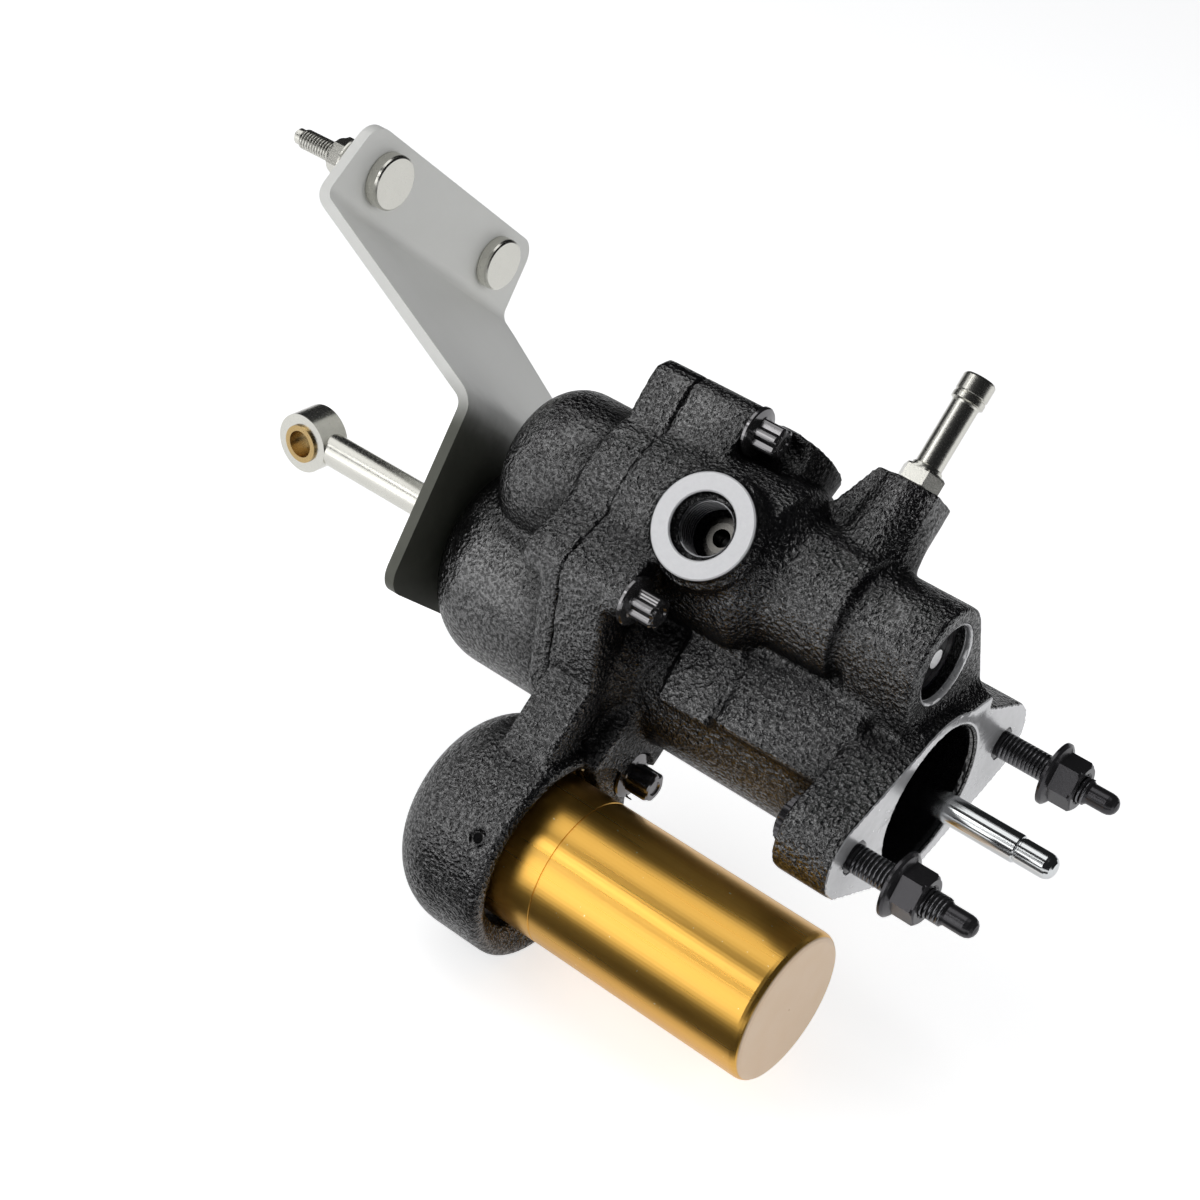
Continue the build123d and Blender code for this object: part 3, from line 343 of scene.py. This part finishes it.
finishes = {
    "cast_black": painted_casting("cast_black"),
    "cover_black": painted_casting("cover_black", machined=False),
    "bolt_worn": metal("bolt_worn", (0.24, 0.235, 0.24), 0.17, 0.02, 0.9, metallic=0.95),
    "oxide_black": metal("oxide_black", (0.075, 0.073, 0.078), 0.24, 0.02, 0.8, metallic=0.75),
    "thread_worn": metal("thread_worn", (0.20, 0.20, 0.21), 0.22, 0.01, 0.8, metallic=0.9),
    "zinc_pale": metal("zinc_pale", (0.80, 0.79, 0.73), 0.26, 0.01, 0.7),
    "bracket_zinc": bracket_finish(),
    "chrome": metal("chrome", (0.80, 0.82, 0.83), 0.13, 0.002, 0.5, (0.05, 1, 1)),
    "ground_steel": metal("ground_steel", (0.62, 0.62, 0.63), 0.30, 0.01, 0.5),
    "spring_steel": metal("spring_steel", (0.30, 0.30, 0.31), 0.34, 0.02, 0.6),
    "seat_metal": metal("seat_metal", (0.14, 0.135, 0.125), 0.26, 0.01, 0.5),
    "brass": metal("brass", (0.62, 0.44, 0.20), 0.28, 0.01, 0.5),
    "plug_steel": plug_finish(),
    "port_bright": port_finish(),
    "gold": gold_finish(),
    "rubber": rubber_finish(),
}


# Mesh tools

def new_object(name, mesh, finish, body, slot, *replaced):
    """Puts a finished mesh in the scene, on its body and in place of its CAD nodes."""
    piece = bpy.data.objects.new(name, mesh)
    scene.collection.objects.link(piece)
    mesh.materials.clear()
    mesh.materials.append(finishes[finish])
    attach(piece, body)
    if replaced:
        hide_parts(*replaced)
    return piece


def smooth(mesh, sharp_deg=32):
    mesh.polygons.foreach_set("use_smooth", [True] * len(mesh.polygons))
    mesh.set_sharp_from_angle(angle=math.radians(sharp_deg))
    mesh.update()


def joined(name, parts):
    """One mesh from several bmeshes."""
    whole = bmesh.new()
    for part in parts:
        scrap = bpy.data.meshes.new("scrap")
        part.to_mesh(scrap)
        part.free()
        whole.from_mesh(scrap)
        bpy.data.meshes.remove(scrap)
    bmesh.ops.recalc_face_normals(whole, faces=whole.faces)
    mesh = bpy.data.meshes.new(name)
    whole.to_mesh(mesh)
    whole.free()
    return mesh


def add_piece(name, parts, *where):
    """One piece from several bmeshes, then its finish, body, a slot that is not used, and the CAD node that it takes
    the place of.
    """
    return new_object(name, joined(name, parts), *where)


def frame_along(origin, direction):
    """A matrix that puts local Z along a direction, from an origin in millimetres, in metres."""
    turn = Vector(direction).to_track_quat("Z", "X").to_matrix().to_4x4()
    return Matrix.Translation(Vector(origin) / 1000) @ turn @ Matrix.Scale(0.001, 4)


def turned(origin, direction, rings, around=72, hollow=False):
    """A solid turned about a line. Each ring is (height, radius), and a radius may be a function of the angle."""
    shape = bmesh.new()
    loops = []
    angles = [2 * math.pi * i / around for i in range(around)]
    for height, radius in rings:
        loop = []
        for a in angles:
            r = radius(a) if callable(radius) else radius
            loop.append(shape.verts.new((r * math.cos(a), r * math.sin(a), height)))
        loops.append(loop)
    pairs = list(zip(loops, loops[1:]))
    if hollow:
        pairs.append((loops[-1], loops[0]))
    for low, high in pairs:
        for i in range(around):
            j = (i + 1) % around
            shape.faces.new((low[i], low[j], high[j], high[i]))
    if not hollow:
        shape.faces.new(loops[0][::-1])
        shape.faces.new(loops[-1])
    bmesh.ops.transform(shape, matrix=frame_along(origin, direction), verts=shape.verts)
    bmesh.ops.recalc_face_normals(shape, faces=shape.faces)
    return shape


def hexagon(flats, limit=None):
    """The radius of a hexagon of that width across its flats, cut down to a round limit."""
    def radius(a):
        part = (a + math.pi / 6) % (math.pi / 3) - math.pi / 6
        r = flats / 2 / math.cos(part)
        return min(r, limit) if limit else r
    return radius


def six_lobes(outer, inner):
    """The radius of a six-lobed driving head."""
    def radius(a):
        wave = 0.5 + 0.5 * math.cos(6 * a)
        return inner + (outer - inner) * wave ** 0.7
    return radius


def serrated(a):
    """The radius of a master cylinder stud's head, which has 24 ribs."""
    return 7.15 + 0.45 * math.cos(24 * a)


def placed(name, mesh):
    """A short-lived object that carries a mesh through a modifier."""
    carrier = bpy.data.objects.new(name, mesh)
    scene.collection.objects.link(carrier)
    return carrier


def applied(carrier):
    """The mesh of an object after its modifiers. The object is removed."""
    bpy.context.view_layer.update()
    made = bpy.data.meshes.new_from_object(carrier.evaluated_get(bpy.context.evaluated_depsgraph_get()))
    bpy.data.objects.remove(carrier)
    return made


def modified(mesh, kind, **settings):
    """A mesh after one modifier."""
    carrier = placed("carrier", mesh)
    modifier = carrier.modifiers.new(kind.lower(), kind)
    for key, value in settings.items():
        setattr(modifier, key, value)
    return applied(carrier)


def welded(node):
    """A copy of a CAD piece's mesh whose faces share their corners."""
    mesh = nodes[node].data.copy()
    weld = bmesh.new()
    weld.from_mesh(mesh)
    bmesh.ops.remove_doubles(weld, verts=weld.verts, dist=1e-6)
    weld.to_mesh(mesh)
    weld.free()
    return mesh


# Threads: one Geometry Nodes tree sweeps a ridge along a helix

def thread_tree():
    tree = bpy.data.node_groups.new("screw_thread", "GeometryNodeTree")
    face = tree.interface
    face.new_socket("Geometry", in_out="INPUT", socket_type="NodeSocketGeometry")
    for label, value in (("Root Radius", 0.0046), ("Crest Height", 0.0005), ("Pitch", 0.0015), ("Length", 0.02)):
        face.new_socket(label, in_out="INPUT", socket_type="NodeSocketFloat").default_value = value
    face.new_socket("Material", in_out="INPUT", socket_type="NodeSocketMaterial")
    face.new_socket("Geometry", in_out="OUTPUT", socket_type="NodeSocketGeometry")

    def add(kind, inputs, **settings):
        """Adds a node, sets its properties, then links or sets its sockets. Gives back its first output."""
        made = tree.nodes.new(kind)
        for key, value in settings.items():
            setattr(made, key, value)
        for key, value in inputs.items():
            if isinstance(value, bpy.types.NodeSocket):
                tree.links.new(value, made.inputs[key])
            else:
                made.inputs[key].default_value = value
        return made.outputs[0]

    def times(a, b):
        return add("ShaderNodeMath", {0: a, 1: b}, operation="MULTIPLY")

    given = tree.nodes.new("NodeGroupInput").outputs
    turns = add("ShaderNodeMath", {0: given["Length"], 1: given["Pitch"]}, operation="DIVIDE")
    path = add("GeometryNodeCurveSpiral", {"Resolution": 24, "Rotations": turns, "Height": given["Length"],
                                           "Start Radius": given["Root Radius"], "End Radius": given["Root Radius"]})
    reach = times(given["Pitch"], 0.46)
    corners = {}
    for i, (side, height) in enumerate(((-1.0, -0.35), (-0.3, 1.0), (0.3, 1.0), (1.0, -0.35))):
        corners[f"Point {i + 1}"] = add("ShaderNodeCombineXYZ", {0: times(given["Crest Height"], height),
                                                                 1: times(reach, side)})
    ridge = add("GeometryNodeCurvePrimitiveQuadrilateral", corners, mode="POINTS")
    flat = add("GeometryNodeSetCurveNormal", {"Curve": path}, mode="Z_UP")
    sweep = add("GeometryNodeCurveToMesh", {"Curve": flat, "Profile Curve": ridge, "Fill Caps": True})
    real = add("GeometryNodeRealizeInstances", {"Geometry": sweep})
    coat = add("GeometryNodeSetMaterial", {"Geometry": real, "Material": given["Material"]})
    tree.links.new(coat, tree.nodes.new("NodeGroupOutput").inputs[0])
    return tree


THREAD = thread_tree()


def thread(origin, direction, root, crest, pitch, length, finish):
    """A helical ridge about a line, as a bmesh in place. Sizes in millimetres."""
    carrier = placed("thread", bpy.data.meshes.new("thread"))
    modifier = carrier.modifiers.new("thread", "NODES")
    modifier.node_group = THREAD
    sizes = {"Root Radius": root, "Crest Height": crest - root, "Pitch": pitch, "Length": length}
    for item in THREAD.interface.items_tree:
        if item.in_out == "INPUT" and item.name in sizes:
            modifier[item.identifier] = sizes[item.name] / 1000
        elif item.in_out == "INPUT" and item.name == "Material":
            modifier[item.identifier] = finishes[finish]
    made = applied(carrier)
    shape = bmesh.new()
    shape.from_mesh(made)
    bpy.data.meshes.remove(made)
    place = frame_along(origin, direction) @ Matrix.Scale(1000, 4)
    bmesh.ops.transform(shape, matrix=place, verts=shape.verts)
    return shape


# Cast skins: a fine remesh of the CAD casting whose hollows fill out and whose edges wear round

def vertex_normals(points, quads):
    """Area-weighted normals of a quad mesh."""
    across = np.cross(points[quads[:, 2]] - points[quads[:, 0]], points[quads[:, 3]] - points[quads[:, 1]])
    total = np.zeros_like(points)
    for axis in range(3):
        for corner in range(4):
            total[:, axis] += np.bincount(quads[:, corner], across[:, axis], len(points))
    return total / np.maximum(np.linalg.norm(total, axis=1, keepdims=True), 1e-12)


def relax(points, edges, quads, weight, rounds, fill, wear):
    """Moves points towards their neighbours: outwards by fill, inwards by wear."""
    size = len(points)
    count = np.bincount(edges.ravel(), minlength=size)[:, None]
    for turn in range(rounds):
        if turn % 4 == 0:
            normals = vertex_normals(points, quads)
        total = np.empty_like(points)
        for axis in range(3):
            column = points[:, axis]
            total[:, axis] = np.bincount(edges[:, 0], column[edges[:, 1]], size)
            total[:, axis] += np.bincount(edges[:, 1], column[edges[:, 0]], size)
        step = total / count - points
        outward = (step * normals).sum(1) > 0
        points = points + step * (np.where(outward, fill, wear) * weight)[:, None]
    return points


def ramp(value, low, high):
    return np.clip((value - low) / (high - low), 0.0, 1.0)


def housing_weight(p):
    """How freely each point of the housing's skin may move: 0 on machined faces and in bores."""
    x, y, z = p.T
    weight = 1 - ramp(x, -2.0, -0.6)
    weight *= 1 - 0.75 * (1 - ramp(abs(x - JOINT_X), 0.6, 1.8))
    weight *= np.where((np.hypot(y, z) < 25.6) & (x > -32), 0, 1)
    weight *= np.where((np.hypot(y, z - SPOOL_RISE) < 14.2) & (x > -26), 0, 1)
    inside = (np.hypot(y - CUP[0], z - CUP[1]) < 35.2) & (x > -119)
    weight *= np.where(inside, 0.15, 1)
    for port in (PORT, OUTLET):
        rise, near = cylinder_place(p, port)
        weight *= np.where((near < 19) & (rise > port["face"] - 1.4), 0, 1)
        weight *= np.where((near < 12) & (rise > 8), 0, 1)
    rise, near = cylinder_place(p, NIPPLE)
    weight *= np.where((near < 7.5) & (rise > NIPPLE["face"] - 12), 0, 1)
    for y0, z0 in BOLTS:
        weight *= np.where((np.hypot(y - y0, z - z0) < 9.3) & (x > BOLT_SEAT_X - 1), 0.2, 1)
    return weight


def cylinder_place(p, port):
    """Distance along and away from a port's line, in millimetres."""
    direction = way(port["angle"])
    offset = p - np.array([port["x"], 0, SPOOL_RISE])
    rise = offset @ direction
    return rise, np.linalg.norm(offset - rise[:, None] * direction, axis=1)


def cover_weight(p):
    x, y, z = p.T
    weight = 1 - 0.75 * (1 - ramp(abs(x - JOINT_X), 0.6, 1.8))
    return weight * np.where(np.hypot(y, z) < 12, 0, 1)


def open_port(p):
    """Sets the skin back from the inlet port, which has a turned lining of its own."""
    rise, near = cylinder_place(p, PORT)
    return p - np.where((near < 18.2) & (rise > PORT["face"] - 0.6), 0.5, 0)[:, None] * way(PORT["angle"])


def mesh_rows(items, attribute, kind, per_item, width):
    """One attribute of all vertices, edges or corners of a mesh, in rows of a width."""
    values = np.empty(len(items) * per_item, kind)
    items.foreach_get(attribute, values)
    return values.reshape(-1, width)


def cast_skin(name, node, weight_of, finish, adjust=None):
    mesh = modified(welded(node), "REMESH", mode="VOXEL", voxel_size=SKIN_VOXEL / 1000)
    points = mesh_rows(mesh.vertices, "co", np.float64, 3, 3) * 1000
    edges = mesh_rows(mesh.edges, "vertices", np.int32, 2, 2)
    quads = mesh_rows(mesh.loops, "vertex_index", np.int32, 1, 4)
    points = relax(points, edges, quads, weight_of(points), SKIN_ROUNDS, SKIN_FILL, SKIN_WEAR)
    if adjust:
        points = adjust(points)
    low, high = (np.array(v) * 1000 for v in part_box(node))
    mesh.vertices.foreach_set("co", (np.clip(points, low, high) / 1000).ravel())
    mesh.update()
    triangles = 2 * len(mesh.polygons)
    if triangles > SKIN_TRIANGLES:
        mesh = modified(mesh, "DECIMATE", ratio=SKIN_TRIANGLES / triangles)
    smooth(mesh, 50)
    return new_object(name, mesh, finish, "booster", "black_cast", node)


cast_skin("housing_skin", "booster_housing", housing_weight, "cast_black", open_port)
cast_skin("cover_skin", "housing_cover", cover_weight, "cover_black")

# Inlet port: bright face, counterbore and thread
port_line = way(PORT["angle"])
port_base = np.array([PORT["x"], 0, SPOOL_RISE])
add_piece("inlet_port_face", [turned(port_base, port_line, [
    (32.4, 17.0), (33.6, 17.0), (34.0, 16.6), (34.0, 11.2), (33.6, 10.8), (31.0, 10.75), (31.0, 9.9), (30.3, 8.95),
    (18.2, 8.95), (18.2, 8.97), (30.2, 11.1), (32.4, 11.6)], 96, hollow=True)], "port_bright", "booster", "black_cast")
port_ridge = thread(port_base + port_line * 18.6, port_line, 8.95, 8.25, 1.5, 11.4, "spring_steel")
add_piece("inlet_port_thread", [port_ridge], "spring_steel", "booster", "black_cast")

# Cover bolts
lobes = six_lobes(5.4, 4.3)
bolt_parts = []
for y, z in BOLTS:
    bolt_parts.append(turned((BOLT_SEAT_X, y, z), X_AXIS, [
        (-35.0, 3.9), (0.0, 3.9), (0.0, 8.0), (0.3, 8.4), (1.2, 8.4), (1.7, 8.0), (2.3, 5.9), (2.6, lobes),
        (9.9, lobes), (10.6, six_lobes(4.9, 4.0)), (11.0, 3.9), (11.0, 2.6), (10.4, 2.1)]))
add_piece("cover_bolt_set", bolt_parts, "bolt_worn", "booster", "black_steel", "cover_bolts")

# Master cylinder studs and nuts
hex_15 = hexagon(15)
stud_parts, thread_parts, nut_parts = [], [], []
for y, z, seat in STUDS:
    stud_parts.append(turned((0.0, y, z), X_AXIS, [
        (-25.0, 6.6), (-24.5, serrated), (-20.2, serrated), (-20.0, 5.5), (-0.2, 5.5), (0.0, 4.35), (32.0, 4.35),
        (33.2, 3.6), (39.4, 3.6), (40.6, 3.42), (41.7, 2.9), (42.5, 2.0), (42.9, 1.0), (43.0, 0.3)], 96))
    thread_parts.append(thread((0.6, y, z), X_AXIS, 4.35, 5.0, 1.5, 31.6, "thread_worn"))
    nut_parts.append(turned((seat, y, z), X_AXIS, [
        (0.0, 5.0), (0.0, 9.9), (0.4, 10.8), (1.3, 10.8), (2.0, 10.0), (2.9, hexagon(15, 8.7)), (3.4, hex_15),
        (9.8, hex_15), (10.5, hexagon(15, 8.1)), (11.0, hexagon(15, 7.35)), (11.0, 5.6), (10.4, 5.0)], 96,
        hollow=True))
add_piece("master_stud_set", stud_parts, "oxide_black", "booster", "black_steel", "master_cylinder_studs")
add_piece("master_stud_threads", thread_parts, "thread_worn", "booster", "black_steel")
add_piece("master_nut_set", nut_parts, "oxide_black", "booster", "black_steel", "master_cylinder_nuts")

# Return nipple
hex_13 = hexagon(13)
add_piece("return_nipple_tube", [turned(np.array([NIPPLE["x"], 0, SPOOL_RISE]), way(NIPPLE["angle"]), [
    (32.2, 5.9), (42.8, 5.9), (43.0, hexagon(13, 7.0)), (43.5, hex_13), (48.2, hex_13), (49.0, hexagon(13, 6.4)),
    (49.1, 5.2), (50.2, 5.1), (50.6, 4.5), (72.3, 4.5), (73.0, 4.7), (73.4, 5.5), (75.2, 5.5), (75.5, 5.2),
    (75.9, 5.2), (76.2, 5.5), (81.3, 5.5), (82.0, 4.9), (82.0, 3.6), (81.6, 3.2), (32.2, 3.2)], hollow=True)],
    "zinc_pale", "booster", "zinc_steel", "return_nipple")

# Accumulator can, with the seam of its drawn end
add_piece("accumulator_shell", [turned((0, *CUP), X_AXIS, [
    (-115.0, 24.2), (-115.0, 28.2), (-113.7, 28.2), (-113.6, 26.0), (-111.4, 26.0), (-111.3, 28.2), (-110.0, 28.2),
    (-110.0, 26.0), (-85.0, 26.0), (-84.8, 25.7), (-84.5, 25.7), (-84.3, 26.0), (-5.2, 26.0), (-4.2, 25.85),
    (-3.2, 25.4), (-2.45, 24.7), (-2.05, 23.8), (-2.0, 23.4), (-2.0, 12.0), (-2.0, 0.3), (-3.8, 0.3), (-3.8, 24.2)],
    144, hollow=True)], "gold", "booster", "gold_can", "accumulator_can")

# Output rod
add_piece("output_push_rod", [turned((0, 0, 0), X_AXIS, [
    (-97.0, 7.6), (-96.6, 8.0), (-91.4, 8.0), (-91.0, 7.6), (-91.0, 4.75), (31.4, 4.75), (31.8, 4.5), (32.0, 4.0),
    (32.5, 4.0), (32.7, 4.2), (41.6, 4.2), (42.7, 4.0), (43.8, 3.4), (44.5, 2.5), (44.9, 1.4), (45.0, 0.4)])],
    "chrome", "piston", "chrome_rod", "output_rod")

# Firewall studs and nuts, and the hub nut
back = (-1, 0, 0)
outward, sideways = way(BRACKET_ANGLE), way(BRACKET_ANGLE - 90)
stud_parts, nut_parts = [], []
for side in (-1, 1):
    _, y, z = outward * 90 + sideways * 41.5 * side
    stud_parts.append(turned((FIREWALL_FACE_X, y, z), back, [
        (-9.0, 9.2), (-8.6, 9.8), (-7.8, 10.0), (-4.4, 10.0), (-4.0, 9.8), (-4.0, 4.8), (-0.1, 4.8), (0.0, 3.5),
        (34.0, 3.5), (34.8, 2.9), (37.0, 2.9), (38.0, 2.0)], 96))
    stud_parts.append(thread((FIREWALL_FACE_X - 0.6, y, z), back, 3.5, 4.0, 1.25, 33.2, "zinc_pale"))
    nut_parts.append(turned((FIREWALL_FACE_X - 10, y, z), back, [
        (0.0, 4.0), (0.0, 8.4), (0.3, 9.0), (1.1, 9.0), (1.7, 8.3), (2.3, hexagon(13, 7.5)), (2.7, hex_13),
        (7.2, hex_13), (8.0, hexagon(13, 6.5)), (8.0, 4.5), (7.5, 4.0)], 96, hollow=True))
add_piece("firewall_stud_set", stud_parts, "zinc_pale", "booster", "zinc_steel", "firewall_studs")
add_piece("firewall_nut_set", nut_parts, "zinc_pale", "booster", "zinc_steel", "firewall_nuts")
hex_42, rounded_42 = hexagon(42), hexagon(42, 22.9)
add_piece("hub_nut_turned", [turned((-188, 0, 0), back, [
    (0.0, 15.1), (0.0, 20.6), (0.9, rounded_42), (1.6, hex_42), (7.4, hex_42), (8.1, rounded_42), (9.0, 20.6),
    (9.0, 15.8), (8.3, 15.1)], 144, hollow=True)], "zinc_pale", "booster", "zinc_steel", "bracket_hub_nut")


def pressed_spring(name, node):
    """A spring in place of its CAD node: the node's mesh, smoothed, on the booster body with a mesh of its own."""
    mesh = welded(node)
    smooth(mesh, 40)
    spring = new_object(name, mesh, "spring_steel", "booster", "spring_steel", node)
    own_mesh(spring)


pressed_spring("return_spring_coil", "return_spring")
pressed_spring("spool_spring_coil", "spool_spring")

# Finishes of the CAD pieces that stay
kept = {
    "rubber": ["cover_gasket", "spool_plug_seal", "piston_seal", "input_rod_seal", "accumulator_seal",
               "accumulator_piston_seal"],
    "ground_steel": ["spool_retaining_ring", "spool_valve", "spool_yoke", "power_piston", "output_rod_retainer",
                     "lever", "lever_pin", "accumulator_piston"],
    "brass": ["input_rod_bush", "accumulator_check_valve"],
    "seat_metal": ["inlet_port_seat"],
    "plug_steel": ["spool_plug"],
    "zinc_pale": ["input_rod"],
    "spring_steel": ["accumulator_retaining_ring"],
    "bracket_zinc": ["mounting_bracket"],
}
for finish, names in kept.items():
    for node in names:
        nodes[node].data.materials.clear()
        nodes[node].data.materials.append(finishes[finish])


# Studio

def floor_finish():
    """A pale floor that shows white to the camera and to reflections, with a dark patch beside the accumulator that
    only reflections see, a painted dark reflection in the can and the casting.
    """
    f = Finish("studio_floor")
    glossy_ray = f.rays("Is Glossy Ray")
    aside = f.along((0, 1, 0))
    # Painted reflection: a dark patch on the floor that only glossy rays see
    reflection_only_dark_patch = f.step(aside, -0.090, -0.104) * f.step(aside, -0.270, -0.225)
    reflection_only_dark_patch = reflection_only_dark_patch * f.step(f.along(X_AXIS), -0.26, -0.20) * glossy_ray
    matt = f.node("ShaderNodeBsdfDiffuse", None, {"Color": f.blend(reflection_only_dark_patch, grey(0.86), grey(0.05))})
    strength = f.rays("Is Camera Ray") * 0.68 + (glossy_ray - reflection_only_dark_patch) * 0.42
    glow = f.node("ShaderNodeEmission", None, {"Color": grey(1), "Strength": strength})
    return f.end(f.node("ShaderNodeAddShader", None, {0: matt, 1: glow}))


floor_z = cad_box[0][2] - 0.0004
half = 6.0
plane = bpy.data.meshes.new("floor")
plane.from_pydata([(-half, -half, floor_z), (half, -half, floor_z), (half, half, floor_z), (-half, half, floor_z)],
                  [], [(0, 1, 2, 3)])
plane.materials.append(floor_finish())
floor = bpy.data.objects.new("floor", plane)
scene.collection.objects.link(floor)

# A dim room for reflections, brighter for soft light, and white to the camera
world = bpy.data.worlds.new("studio")
scene.world = world
world.use_nodes = True
room = Graph(world.node_tree)
lit = room.node("ShaderNodeBackground", None,
                {"Color": rgba(0.80, 0.82, 0.86), "Strength": room.rays("Is Diffuse Ray") * 0.20 + 0.02})
white = room.node("ShaderNodeBackground", None, {"Color": grey(1), "Strength": 1.0})
seen = room.node("ShaderNodeMixShader", None, {0: room.rays("Is Camera Ray"), 1: lit, 2: white})
room.node("ShaderNodeOutputWorld", None, {"Surface": seen})


def soft_lamp(name, place, size, power):
    """An area lamp that is turned towards the middle of the booster."""
    data = bpy.data.lights.new(name, "AREA")
    data.shape = "RECTANGLE"
    data.size, data.size_y = size
    data.energy = power
    lamp = bpy.data.objects.new(name, data)
    scene.collection.objects.link(lamp)
    lamp.location = place
    lamp.rotation_mode = "QUATERNION"
    lamp.rotation_quaternion = (Vector((-0.08, -0.03, 0.0)) - Vector(place)).to_track_quat("-Z", "Y")
    return lamp


soft_lamp("overhead", (-0.68, -0.05, 1.15), (0.85, 1.5), 4.6)
soft_lamp("left_strip", (-0.70, -0.86, 0.92), (0.8, 0.32), 2.3)
soft_lamp("left_low", (-0.66, -1.12, 0.25), (0.9, 0.72), 3.6)
soft_lamp("right_fill", (1.1, 0.25, 0.35), (0.8, 0.8), 5.0).visible_glossy = False

# The camera that took the photo: its right, up and back vectors are the columns of turn
turn = Matrix(((0.76768, 0.62217, 0.15355), (-0.44653, 0.34747, 0.82455), (0.45965, -0.70155, 0.54456))).transposed()
camera = bpy.data.cameras.new("camera")
camera.sensor_width = 36.0
camera.lens = 71.552
camera.clip_start, camera.clip_end = 0.02, 50.0
eye = bpy.data.objects.new("camera", camera)
scene.collection.objects.link(eye)
eye.rotation_mode = "QUATERNION"
eye.rotation_quaternion = turn.to_quaternion()
eye.location = (0.231531, -0.556294, 0.433699)
scene.camera = eye
scene.view_settings.view_transform = "Standard"
